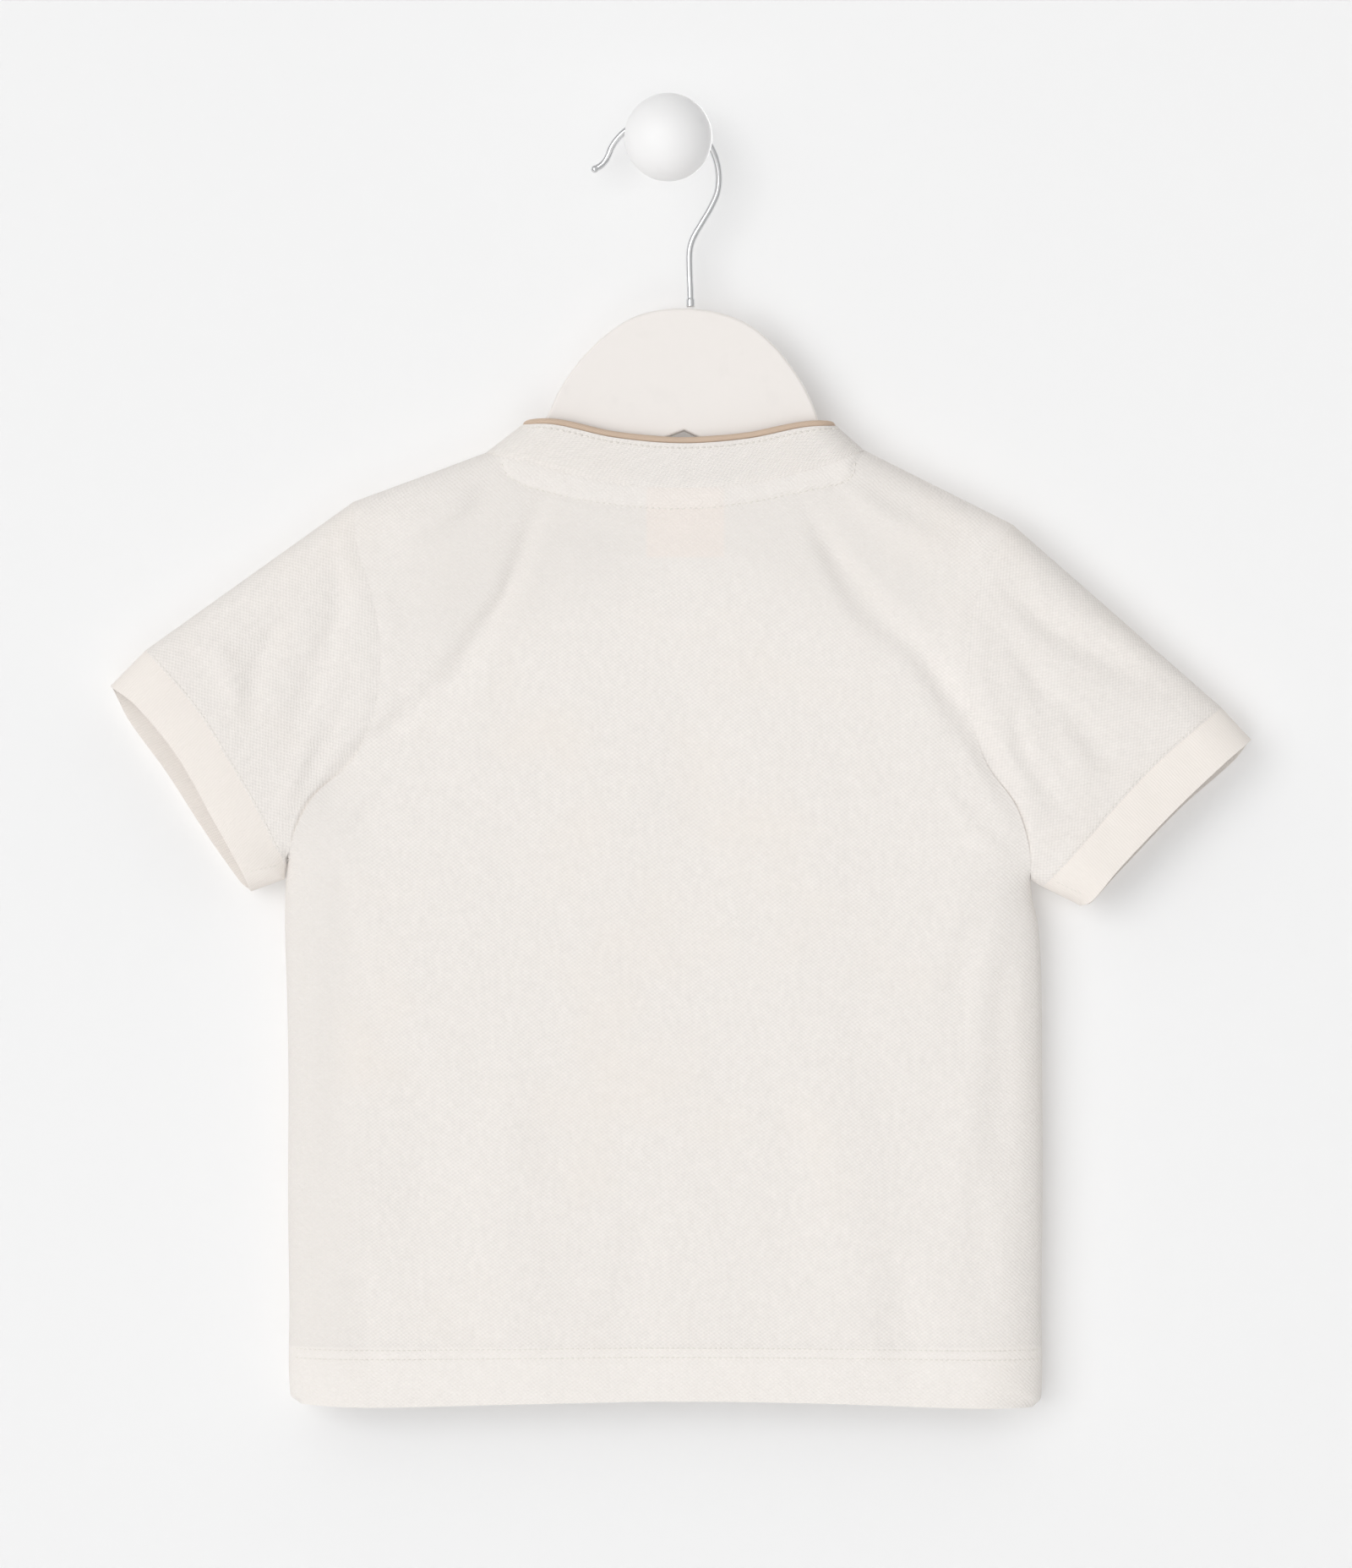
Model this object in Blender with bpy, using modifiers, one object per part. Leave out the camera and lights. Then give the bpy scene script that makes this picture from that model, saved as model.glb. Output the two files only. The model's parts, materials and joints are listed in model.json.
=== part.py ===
"""A baby's short-sleeved henley t-shirt with a band collar, hanging on a child's board hanger from a wall knob.

The wall is the plane Y = 0 and the origin is the centre of the knob's flat back. The shirt's back faces -Y.
Left is at -X. Sizes are in millimetres until an object is made.
"""

import math

import bmesh
import bpy
from mathutils import Matrix, Vector

MM = 0.001

# Cloth
CLOTH = 1.2  # wall of a cloth piece
SEAM_GAP = 0.35  # clear space between two sewn pieces
SLANT_GAP = 0.65  # the same for a band that leaves its seam at a slant
CLOSE_RING = 0.04  # points this near, where a ring closes, are one
MID_Y = -14.0  # plane halfway between the back and the front
HALF_GAP = 0.6  # from that plane to the edge of a panel at a side seam
BACK, FRONT = -1, 1  # the way a face looks along Y

# Half the shirt's depth, at a height
DEPTH_ROWS = (
    # height, half depth
    (-470.0, 11.5),
    (-380.0, 11.0),
    (-280.0, 10.0),
    (-200.0, 9.0),
    (-100.0, 9.0),
)

# Side seams, from the hem to the armpits
SIDE_ROWS = (
    # left x, left z, right x, right z
    (-136.5, -467.0, 135.3, -468.3),
    (-140.2, -464.0, 138.3, -465.0),
    (-140.6, -430.0, 138.4, -428.0),
    (-141.1, -390.0, 138.9, -386.0),
    (-140.9, -350.0, 138.7, -346.0),
    (-141.4, -318.0, 138.4, -310.0),
    (-142.2, -292.0, 137.2, -290.0),
    (-142.0, -276.0, 134.8, -278.0),
    (-141.2, -265.5, 134.3, -269.0),
)

# Armhole seams, from the shoulder to the armpit
ARMHOLE_ROWS = (
    # share of the way, left x, left z, right x, right z
    (0.00, -116.9, -132.9, 127.7, -141.3),
    (0.12, -114.9, -150.5, 117.5, -157.0),
    (0.27, -109.0, -170.0, 112.0, -176.0),
    (0.42, -106.6, -191.0, 111.0, -195.0),
    (0.57, -109.3, -212.0, 112.6, -215.0),
    (0.70, -116.6, -230.5, 118.2, -232.0),
    (0.83, -130.0, -244.0, 127.8, -247.0),
    (0.93, -137.4, -256.0, 132.4, -259.5),
    (1.00, -141.2, -265.5, 134.3, -269.0),
)

# Seams between sleeve and cuff, from the top fold to the underarm
CUFF_SEAM_ROWS = (
    # share of the way, left x, left z, right x, right z
    (0.00, -193.8, -187.8, 205.0, -209.0),
    (0.25, -176.0, -208.3, 183.5, -227.2),
    (0.50, -163.3, -228.0, 166.4, -244.8),
    (0.75, -151.3, -248.8, 150.2, -263.4),
    (0.93, -145.4, -262.4, 142.4, -272.2),
    (1.00, -144.3, -271.0, 140.2, -275.8),
)

# Mouths of the cuffs: the back half's edge and the front half's edge
MOUTH_BACK_ROWS = (
    # share of the way, left x, left z, right x, right z
    (0.00, -207.0, -201.1, 216.2, -221.0),
    (0.12, -197.0, -208.5, 206.0, -229.5),
    (0.35, -181.8, -227.0, 187.0, -247.5),
    (0.65, -168.0, -251.3, 167.0, -268.5),
    (0.88, -158.0, -269.5, 156.9, -280.6),
    (1.00, -154.8, -277.3, 153.0, -282.6),
)
MOUTH_FRONT_ROWS = (
    # share of the way, left x, left z, right x, right z
    (0.00, -207.0, -201.1, 216.2, -221.0),
    (0.12, -201.0, -213.5, 210.2, -229.0),
    (0.35, -187.0, -233.0, 191.2, -246.0),
    (0.65, -171.5, -257.0, 169.0, -269.0),
    (0.88, -159.5, -273.5, 157.2, -281.3),
    (1.00, -154.8, -277.3, 153.0, -282.6),
)

# Neckline seam and the collar's top edge, each at its share of the way from the left neck point to the right one
NECK_BACK_ROWS = (
    # share of the way, x, z
    (0.00, -67.7, -114.7),
    (0.13, -50.0, -119.0),
    (0.30, -26.0, -125.2),
    (0.50, 4.0, -128.1),
    (0.70, 33.0, -125.8),
    (0.87, 57.0, -120.0),
    (1.00, 72.7, -113.8),
)
NECK_FRONT_ROWS = (
    # share of the way, x, z
    (0.00, -67.7, -114.7),
    (0.13, -52.5, -134.5),
    (0.30, -27.0, -151.5),
    (0.50, 3.0, -156.5),
    (0.70, 33.0, -151.0),
    (0.87, 57.5, -134.0),
    (1.00, 72.7, -113.8),
)
COLLAR_BACK_ROWS = (
    # share of the way, x, z of the top edge
    (0.00, -54.5, -104.4),
    (0.13, -41.5, -104.8),
    (0.30, -20.5, -109.4),
    (0.50, 4.5, -111.6),
    (0.70, 29.0, -109.9),
    (0.87, 49.5, -105.8),
    (1.00, 62.5, -104.8),
)
COLLAR_FRONT_ROWS = (
    # share of the way, x, z of the top edge
    (0.00, -54.5, -104.4),
    (0.13, -41.5, -120.5),
    (0.30, -20.5, -136.0),
    (0.50, 3.0, -140.3),
    (0.70, 27.5, -135.5),
    (0.87, 47.5, -120.0),
    (1.00, 62.5, -104.8),
)

# Hem, from left to right
HEM_ROWS = (
    # share of the way, rise of the edge above the line between its corners
    (0.00, 0.0),
    (0.10, -0.6),
    (0.30, 0.9),
    (0.50, 2.2),
    (0.70, 1.8),
    (0.90, 0.2),
    (1.00, 0.0),
)

# How far from each fold or seam the cloth takes to round over to its full depth
SHOULDER_ROUND, NECK_ROUND, SLEEVE_ROUND, UNDERARM_ROUND, SIDE_ROUND = 10.0, 11.0, 17.0, 18.0, 27.0

# The largest folds. A row runs between two points; a positive depth sinks, a negative one rises.
BACK_FOLDS = (
    # x, z, to x, to z, half width, depth
    (-50.0, -150.0, -74.0, -190.0, 11.0, 1.3),
    (-80.0, -203.0, -122.0, -242.0, 12.0, 1.2),
    (52.0, -146.0, 82.0, -184.0, 12.0, 1.8),
    (88.0, -194.0, 122.0, -240.0, 13.0, 2.0),
    (-76.0, -134.0, -101.0, -148.0, 9.0, -1.2),
    (72.0, -134.0, 101.0, -150.0, 9.0, -1.2),
    (-24.0, -146.0, 34.0, -146.0, 12.0, 0.9),
    (-112.0, -300.0, -120.0, -410.0, 16.0, 0.8),
    (118.0, -300.0, 124.0, -420.0, 15.0, 1.2),
    (60.0, -380.0, 66.0, -470.0, 22.0, -1.0),
    (-56.0, -390.0, -60.0, -470.0, 24.0, -1.0),
)
FRONT_FOLDS = (
    # x, z, to x, to z, half width, depth
    (-62.0, -156.0, -104.0, -226.0, 12.0, 1.4),
    (66.0, -158.0, 110.0, -234.0, 13.0, 1.6),
    (-40.0, -250.0, -66.0, -400.0, 22.0, 1.0),
    (52.0, -270.0, 60.0, -420.0, 20.0, 1.0),
    (0.0, -380.0, -4.0, -470.0, 24.0, -0.9),
)
SLEEVE_FOLDS = (
    # x, z, to x, to z, half width, depth, on the back and on the front alike
    (-128.0, -164.0, -150.0, -232.0, 10.0, 1.2),
    (-168.0, -188.0, -152.0, -214.0, 9.0, -0.9),
    (128.0, -168.0, 186.0, -206.0, 11.0, 1.6),
    (124.0, -196.0, 158.0, -246.0, 11.0, 0.9),
)

# The grid of a panel: columns across it and rows up it
NECK_LEFT, NECK_RIGHT = 0.20, 0.775  # shares of the way across where the neckline starts and ends
EDGE_COLUMNS = (0.0, 0.0015, 0.009, 0.028, 0.066, 0.13)
NECK_COLUMNS = (0.0, 0.012, 0.05, 0.12, 0.22, 0.33, 0.436, 0.5, 0.564, 0.67, 0.78, 0.88, 0.95, 0.988, 1.0)
SLIT_COLUMNS = (6, 8)  # the neck columns at the sides of the placket's slit
ARMPIT = 0.585  # share of the way up a panel's side
SIDE_SHARES = (0.0, 0.012, 0.05, 0.14, 0.28, 0.44, 0.60, 0.76, 0.90, 0.97)
ARM_SHARES = (0.0, 0.003, 0.013, 0.032, 0.065, 0.12, 0.20, 0.30, 0.41, 0.52, 0.63, 0.74, 0.84, 0.92, 0.97, 1.0)
SLIT_SHARE = 0.52  # share of the way down the armhole that is level with the slit's end
PANEL_HEIGHT = 310.0  # from the hem to the neckline
SLEEVE_STEPS, CUFF_STEPS, COLLAR_STEPS = 4, 2, 3
COLLAR_SPLIT = 0.006  # half the gap between the collar's front ends, as a share of the neckline

# Trim
PIPING_RADIUS = 1.2
INSIDE_GAP = 0.5  # clear space between the layers inside the back
TAPE_THICK, TAPE_SHARES, TAPE_DROPS = 0.9, (0.065, 0.935), (0.5, 4.5, 8.4)
LABEL_THICK, LABEL_SHARES, LABEL_DROPS = 1.0, (0.417, 0.622), (1.0, 9.0, 17.0, 25.5)
PLACKET_THICK, PLACKET_OVERLAP = 1.0, 2.0
BUTTON_RADIUS, BUTTON_THICK, BUTTON_SIDES = 4.6, 1.6, 24
BUTTON_PLACES = (0.14, 0.48, 0.82)  # shares of the way down the placket

# Hanger, in its own frame: its top is the origin and both halves are alike
HANGER_TOP = (8.2, -61.3)
HANGER_TILT = math.radians(3.0)
HANGER_THICK = 10.0
HANGER_ROWS = (
    # offset from the middle, drop to the upper edge
    (0.0, 0.0),
    (11.0, 1.2),
    (22.0, 5.0),
    (32.0, 12.6),
    (41.0, 23.0),
    (47.0, 33.0),
    (50.4, 41.5),
    (54.6, 48.7),
    (61.5, 56.2),
    (70.0, 61.4),
    (80.0, 66.0),
)
ARM_SLOPE = math.tan(math.radians(22.6))
ARM_END, ARM_END_RADIUS, ARM_END_STEPS = 106.0, 7.5, 6
HANGER_LOWER_APEX = 45.3

# Hook wire: its middle line, and its radius as a share of the wire's
WIRE_RADIUS = 1.25
HOOK_ROWS = (
    # x, z, share of the radius
    (-28.9, -9.9, 0.62),
    (-28.2, -9.7, 1.08),
    (-26.8, -9.2, 1.1),
    (-24.2, -7.4, 1.0),
    (-22.4, -4.6, 1.0),
    (-21.0, -1.2, 1.0),
    (-18.7, 2.1, 1.0),
    (-15.2, 5.3, 1.0),
    (-10.4, 8.1, 1.0),
    (-4.6, 9.6, 1.0),
    (1.4, 9.4, 1.0),
    (7.0, 7.5, 1.0),
    (12.0, 3.8, 1.0),
    (15.8, -1.4, 1.0),
    (17.9, -6.8, 1.0),
    (18.7, -12.4, 1.0),
    (18.1, -18.2, 1.0),
    (15.6, -23.9, 1.0),
    (12.4, -29.4, 1.0),
    (9.3, -34.8, 1.0),
    (7.9, -39.6, 1.0),
    (7.8, -46.0, 1.0),
    (8.1, -54.0, 1.0),
    (8.2, -58.0, 1.25),
    (8.2, -60.9, 1.25),
)

# Wall knob: a ball on a round stem
BALL_RADIUS, BALL_CENTRE = 16.15, 38.0
STEM_RADIUS = 7.9
KNOB_STEPS, BALL_RINGS = 32, 12


# Curves read from the tables


def smooth(rows, place, column):
    """A column of a table at this place in its first column, through the rows without corners."""
    last = len(rows) - 1
    i = 0
    while i < last - 1 and place > rows[i + 1][0]:
        i += 1
    step = rows[i + 1][0] - rows[i][0]
    share = (place - rows[i][0]) / step

    def slope(k):
        low, high = rows[max(k - 1, 0)], rows[min(k + 1, last)]
        return (high[column] - low[column]) / (high[0] - low[0]) * step

    start, end = rows[i][column], rows[i + 1][column]
    a = 2 * (start - end) + slope(i) + slope(i + 1)
    b = 3 * (end - start) - 2 * slope(i) - slope(i + 1)
    return ((a * share + b) * share + slope(i)) * share + start


def plan(rows, share, side):
    """A point (x, z) of a seam that has one column pair for each side: -1 is the left, 1 the right."""
    column = 1 if side < 0 else 3
    return Vector((smooth(rows, share, column), smooth(rows, share, column + 1)))


def side_seam(share, side):
    """A point of a side seam, from the hem to the armpit, by its height."""
    column = 0 if side < 0 else 2
    rows = [(row[column + 1], row[column]) for row in SIDE_ROWS]
    height = rows[0][0] + share * (rows[-1][0] - rows[0][0])
    return Vector((smooth(rows, height, 1), height))


def panel_side(up, side):
    """A point of a panel's side: its side seam, then its armhole."""
    if up <= ARMPIT:
        return side_seam(up / ARMPIT, side)
    inward = (neck_point(BACK, 0 if side < 0 else 1) - plan(ARMHOLE_ROWS, 0, side)).normalized()
    return plan(ARMHOLE_ROWS, (1 - up) / (1 - ARMPIT), side) + inward * SEAM_GAP


def neck_point(face, share):
    rows = NECK_BACK_ROWS if face == BACK else NECK_FRONT_ROWS
    return Vector((smooth(rows, share, 1), smooth(rows, share, 2)))


def collar_top(face, share):
    rows = COLLAR_BACK_ROWS if face == BACK else COLLAR_FRONT_ROWS
    return Vector((smooth(rows, share, 1), smooth(rows, share, 2)))


def panel_top(face, across):
    """A point of a panel's top: a shoulder, the neckline, then the other shoulder."""
    if across < NECK_LEFT:
        return panel_side(1, -1).lerp(neck_point(face, 0), across / NECK_LEFT)
    if across > NECK_RIGHT:
        return neck_point(face, 1).lerp(panel_side(1, 1), (across - NECK_RIGHT) / (1 - NECK_RIGHT))
    return neck_point(face, (across - NECK_LEFT) / (NECK_RIGHT - NECK_LEFT))


def hem_point(across):
    point = panel_side(0, -1).lerp(panel_side(0, 1), across)
    return point + Vector((0, smooth(HEM_ROWS, across, 1)))


def panel_plan(face, across, up):
    """A point (x, z) of a panel, blended from its four edges."""
    low, high = hem_point(across), panel_top(face, across)
    left, right = panel_side(up, -1), panel_side(up, 1)
    low_corners = hem_point(0).lerp(hem_point(1), across)
    high_corners = panel_top(face, 0).lerp(panel_top(face, 1), across)
    return low.lerp(high, up) + left.lerp(right, across) - low_corners.lerp(high_corners, up)


# The shirt's depth


def fold_lines():
    """Where the back turns into the front: pieces of line, each with its rounding at both ends."""
    lines = []
    for side in (-1, 1):
        seam = [(side_seam(share, side), SIDE_ROUND) for share in SIDE_SHARES]
        armpit = (plan(ARMHOLE_ROWS, 1, side), UNDERARM_ROUND)
        under = [(plan(rows, 1, side), UNDERARM_ROUND) for rows in (CUFF_SEAM_ROWS, MOUTH_BACK_ROWS)]
        over = [(plan(rows, 0, side), SLEEVE_ROUND) for rows in (MOUTH_BACK_ROWS, CUFF_SEAM_ROWS)]
        shoulder = (plan(ARMHOLE_ROWS, 0, side), SHOULDER_ROUND)
        end = 0 if side < 0 else 1
        neck = [(neck_point(BACK, end), NECK_ROUND), (collar_top(BACK, end), NECK_ROUND)]
        lower = seam + [armpit] + under
        upper = over + [shoulder] + neck
        lines += list(zip(lower, lower[1:])) + list(zip(upper, upper[1:]))
    return lines


FOLD_LINES = fold_lines()


def nearest(point, start, end):
    """The share of the way along a line that lies nearest to a point, and the distance there."""
    way = end - start
    share = min(max((point - start).dot(way) / way.dot(way), 0), 1)
    return share, (point - start - way * share).length


def roundness(point):
    """0 on a fold line and 1 where the cloth has its full depth, as a quarter of an ellipse."""
    least = 1
    for (start, start_round), (end, end_round) in FOLD_LINES:
        share, distance = nearest(point, start, end)
        reach = distance / (start_round + (end_round - start_round) * share)
        if reach < 1:
            least = min(least, math.sqrt(1 - (1 - reach) ** 2))
    return least


def half_depth(face, point):
    """The distance from the middle plane to the cloth's outer side."""
    depth = smooth(DEPTH_ROWS, point.y, 1)
    for x, z, to_x, to_z, width, sink in (BACK_FOLDS if face == BACK else FRONT_FOLDS) + SLEEVE_FOLDS:
        distance = nearest(point, Vector((x, z)), Vector((to_x, to_z)))[1]
        depth -= sink * math.exp(-((distance / width) ** 2))
    return depth * roundness(point)


def cloth_point(face, point, lift=0.0, least=0.0):
    """The place in space of a plan point on the back or the front, moved out by a lift."""
    return Vector((point.x, MID_Y + face * (max(half_depth(face, point), least) + lift), point.y))


# Making objects


def material(name, colour, roughness, metallic=0.0):
    """A plain surface of its own; the colour is linear."""
    made = bpy.data.materials.new(name)
    made.use_nodes = True
    shader = made.node_tree.nodes["Principled BSDF"]
    shader.inputs["Base Color"].default_value = (*colour, 1)
    shader.inputs["Roughness"].default_value = roughness
    shader.inputs["Metallic"].default_value = metallic
    made.diffuse_color = (*colour, 1)
    return made


def keep(obj, surface, parent):
    """Gives an object its material and its place in the collection."""
    obj.data.materials.append(surface)
    for collection in obj.users_collection:
        collection.objects.unlink(obj)
    bpy.data.collections["henley_t_shirt"].objects.link(obj)
    obj.parent = parent
    return obj


def cloth_sheet(name, across, up, place, thick, kept=None):
    """A wall whose outer side is a grid of across by up cells, moved to place(i, j) in millimetres."""
    bm = bmesh.new()
    bmesh.ops.create_grid(bm, x_segments=across, y_segments=up, size=1)

    def cell(co):
        return (co.x + 1) / 2 * across, (co.y + 1) / 2 * up

    if kept:
        spare = [face for face in bm.faces if not kept(*map(int, cell(face.calc_center_median())))]
        bmesh.ops.delete(bm, geom=spare, context="FACES")
    for vertex in bm.verts:
        vertex.co = place(*map(round, cell(vertex.co))) * MM
    bmesh.ops.remove_doubles(bm, verts=bm.verts, dist=CLOSE_RING * MM)
    bm.normal_update()
    facing = sum(face.normal.y * (face.calc_center_median().y - MID_Y * MM) * face.calc_area() for face in bm.faces)
    if facing < 0:
        bmesh.ops.reverse_faces(bm, faces=bm.faces)
    mesh = bpy.data.meshes.new(name)
    bm.to_mesh(mesh)
    bm.free()
    mesh.shade_smooth()
    obj = bpy.data.objects.new(name, mesh)
    wall = obj.modifiers.new("Wall", "SOLIDIFY")
    wall.thickness = thick * MM
    wall.offset = -1
    return obj


def curve_object(name, points, dimensions, cyclic=False):
    """A curve through points (x, y, z, share of the radius) in millimetres."""
    curve = bpy.data.curves.new(name, "CURVE")
    curve.dimensions = dimensions
    spline = curve.splines.new("POLY")
    spline.points.add(len(points) - 1)
    for knot, (x, y, z, radius) in zip(spline.points, points):
        knot.co = (x * MM, y * MM, z * MM, 1)
        knot.radius = radius
    spline.use_cyclic_u = cyclic
    return bpy.data.objects.new(name, curve)


# Cloth pieces


def panel_columns():
    width = NECK_RIGHT - NECK_LEFT
    left = list(EDGE_COLUMNS)
    right = [1 - share for share in reversed(EDGE_COLUMNS)]
    return left + [NECK_LEFT + share * width for share in NECK_COLUMNS] + right


def panel_rows():
    side = [share * ARMPIT for share in SIDE_SHARES]
    return side + [1 - share * (1 - ARMPIT) for share in reversed(ARM_SHARES)]


def panel(name, face):
    columns, rows = panel_columns(), panel_rows()
    slit = [len(EDGE_COLUMNS) + column for column in SLIT_COLUMNS]
    slit_row = len(rows) - 1 - ARM_SHARES.index(SLIT_SHARE)

    def place(i, j):
        return cloth_point(face, panel_plan(face, columns[i], rows[j]), least=HALF_GAP)

    def outside_slit(i, j):
        return face == BACK or j < slit_row or not slit[0] <= i < slit[1]

    return cloth_sheet(name, len(columns) - 1, len(rows) - 1, place, CLOTH, outside_slit)


def loop_places(shares):
    """Round a sleeve: down its back from the top fold, then up its front."""
    return [(BACK, share) for share in shares] + [(FRONT, share) for share in reversed(shares[:-1])]


def band(name, places, edges, steps, gap=SLANT_GAP):
    """A ring or strip of cloth between two edges; each edge gives a plan point for a face and a share."""

    def place(i, j):
        face, share = places[i]
        start, end = (edge(face, share) for edge in edges)
        start = start + (end - start).normalized() * gap
        return cloth_point(face, start.lerp(end, j / steps))

    return cloth_sheet(name, len(places) - 1, steps, place, CLOTH)


def sleeve(name, side):
    edges = [lambda face, share, rows=rows: plan(rows, share, side) for rows in (ARMHOLE_ROWS, CUFF_SEAM_ROWS)]
    return band(name, loop_places(ARM_SHARES), edges, SLEEVE_STEPS)


def cuff(name, side):
    def mouth(face, share):
        return plan(MOUTH_BACK_ROWS if face == BACK else MOUTH_FRONT_ROWS, share, side)

    edges = (lambda face, share: plan(CUFF_SEAM_ROWS, share, side), mouth)
    return band(name, loop_places(ARM_SHARES), edges, CUFF_STEPS)


def collar_places():
    """Round the collar from the front's middle: its left half, the back, its right half."""
    middle = NECK_COLUMNS.index(0.5)
    left = [(FRONT, share) for share in reversed(NECK_COLUMNS[1:middle])]
    right = [(FRONT, share) for share in reversed(NECK_COLUMNS[middle + 1 : -1])]
    ends = [(FRONT, 0.5 - COLLAR_SPLIT)], [(FRONT, 0.5 + COLLAR_SPLIT)]
    return ends[0] + left + [(BACK, share) for share in NECK_COLUMNS] + right + ends[1]


def collar_piping(name):
    points = []
    for face, share in collar_places():
        top = collar_top(face, share)
        rise = (top - neck_point(face, share)).normalized()
        inward = Vector((math.copysign(1, 0.5 - share), 0)) * (1 - roundness(top)) * CLOTH / 2
        depth = max(half_depth(face, top) - CLOTH / 2, 0)
        point = top + inward + rise * (SEAM_GAP + PIPING_RADIUS)
        points.append((point.x, MID_Y + face * depth, point.y, 1))
    obj = curve_object(name, points, "3D")
    obj.data.bevel_depth = PIPING_RADIUS * MM
    obj.data.bevel_resolution = 2
    obj.data.use_fill_caps = True
    return obj


def inside_strip(name, start, end, depth_in, drops, thick, columns):
    """A strip inside the back, below the neckline seam."""

    def place(i, j):
        point = neck_point(BACK, start + (end - start) * i / columns)
        return cloth_point(BACK, point - Vector((0, drops[j])), -depth_in)

    return cloth_sheet(name, columns, len(drops) - 1, place, thick)


def placket(name, spread, lift, thick):
    """One side of the placket, over the slit in the front and wider than it by a spread on each side."""
    columns, rows = panel_columns(), panel_rows()
    width = panel_side(0.8, 1).x - panel_side(0.8, -1).x
    left, right = (columns[len(EDGE_COLUMNS) + column] for column in SLIT_COLUMNS)
    left, right = left - spread / width, right + spread / width
    slit_row = len(rows) - 1 - ARM_SHARES.index(SLIT_SHARE)
    ups = [rows[slit_row] - spread / PANEL_HEIGHT] + rows[slit_row + 1 :]

    def place(i, j):
        return cloth_point(FRONT, panel_plan(FRONT, left + (right - left) * i / 2, ups[j]), lift)

    return cloth_sheet(name, 2, len(ups) - 1, place, thick)


def button(name, share):
    middle = (NECK_LEFT + NECK_RIGHT) / 2
    up = 1 - share * SLIT_SHARE * (1 - ARMPIT)
    lift = SEAM_GAP + PLACKET_THICK + SEAM_GAP + BUTTON_THICK / 2
    place = cloth_point(FRONT, panel_plan(FRONT, middle, up), lift)
    bpy.ops.mesh.primitive_cylinder_add(
        vertices=BUTTON_SIDES,
        radius=BUTTON_RADIUS * MM,
        depth=BUTTON_THICK * MM,
        location=place * MM,
        rotation=(math.radians(90), 0, 0),
    )
    obj = bpy.context.object
    obj.name = name
    rim = obj.modifiers.new("Rim", "BEVEL")
    rim.width = 0.35 * MM
    rim.segments = 1
    return obj


# What holds the shirt up


def hanger_drop(offset):
    if offset < HANGER_ROWS[-1][0]:
        return smooth(HANGER_ROWS, offset, 1)
    return HANGER_ROWS[-1][1] + (offset - HANGER_ROWS[-1][0]) * ARM_SLOPE


def hanger_board():
    upper = [(row[0], -row[1]) for row in HANGER_ROWS[1:]]
    tip = Vector((ARM_END, -hanger_drop(ARM_END) - ARM_END_RADIUS))
    slope = math.atan(ARM_SLOPE)
    for step in range(ARM_END_STEPS + 1):
        angle = math.pi / 2 - slope - math.pi * step / ARM_END_STEPS
        upper.append(tuple(tip + Vector((math.cos(angle), math.sin(angle))) * ARM_END_RADIUS))
    lower = [(0.0, -HANGER_LOWER_APEX)]
    right = [(0.0, 0.0)] + upper + lower
    left = [(-x, z) for x, z in reversed(upper)]
    obj = curve_object("hanger_board", [(x, z, 0, 1) for x, z in right + left], "2D", cyclic=True)
    obj.data.fill_mode = "BOTH"
    obj.data.extrude = HANGER_THICK / 2 * MM
    turn = Matrix.Rotation(HANGER_TILT, 4, "Y") @ Matrix.Rotation(math.radians(90), 4, "X")
    obj.rotation_euler = turn.to_euler()
    obj.location = Vector((HANGER_TOP[0], MID_Y, HANGER_TOP[1])) * MM
    return obj


def hanger_hook():
    obj = curve_object("hanger_hook", [(x, MID_Y, z, share) for x, z, share in HOOK_ROWS], "3D")
    obj.data.bevel_depth = WIRE_RADIUS * MM
    obj.data.bevel_resolution = 2
    obj.data.use_fill_caps = True
    return obj


def wall_knob():
    """A turned profile about its own Z, laid so that this points away from the wall."""
    last = math.pi - math.asin(STEM_RADIUS / BALL_RADIUS)
    angles = [last * step / BALL_RINGS for step in range(BALL_RINGS + 1)]
    profile = [(BALL_RADIUS * math.sin(a), BALL_CENTRE + BALL_RADIUS * math.cos(a)) for a in angles]
    profile += [(STEM_RADIUS, 0.0), (0.0, 0.0)]
    mesh = bpy.data.meshes.new("wall_knob")
    points = [(x * MM, 0, z * MM) for x, z in profile]
    mesh.from_pydata(points, [(i, i + 1) for i in range(len(points) - 1)], [])
    obj = bpy.data.objects.new("wall_knob", mesh)
    turned = obj.modifiers.new("Turned", "SCREW")
    turned.steps = turned.render_steps = KNOB_STEPS
    turned.use_merge_vertices = True
    turned.merge_threshold = 1e-5
    turned.use_smooth_shade = True
    obj.rotation_euler = (math.radians(90), 0, 0)
    return obj


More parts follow.
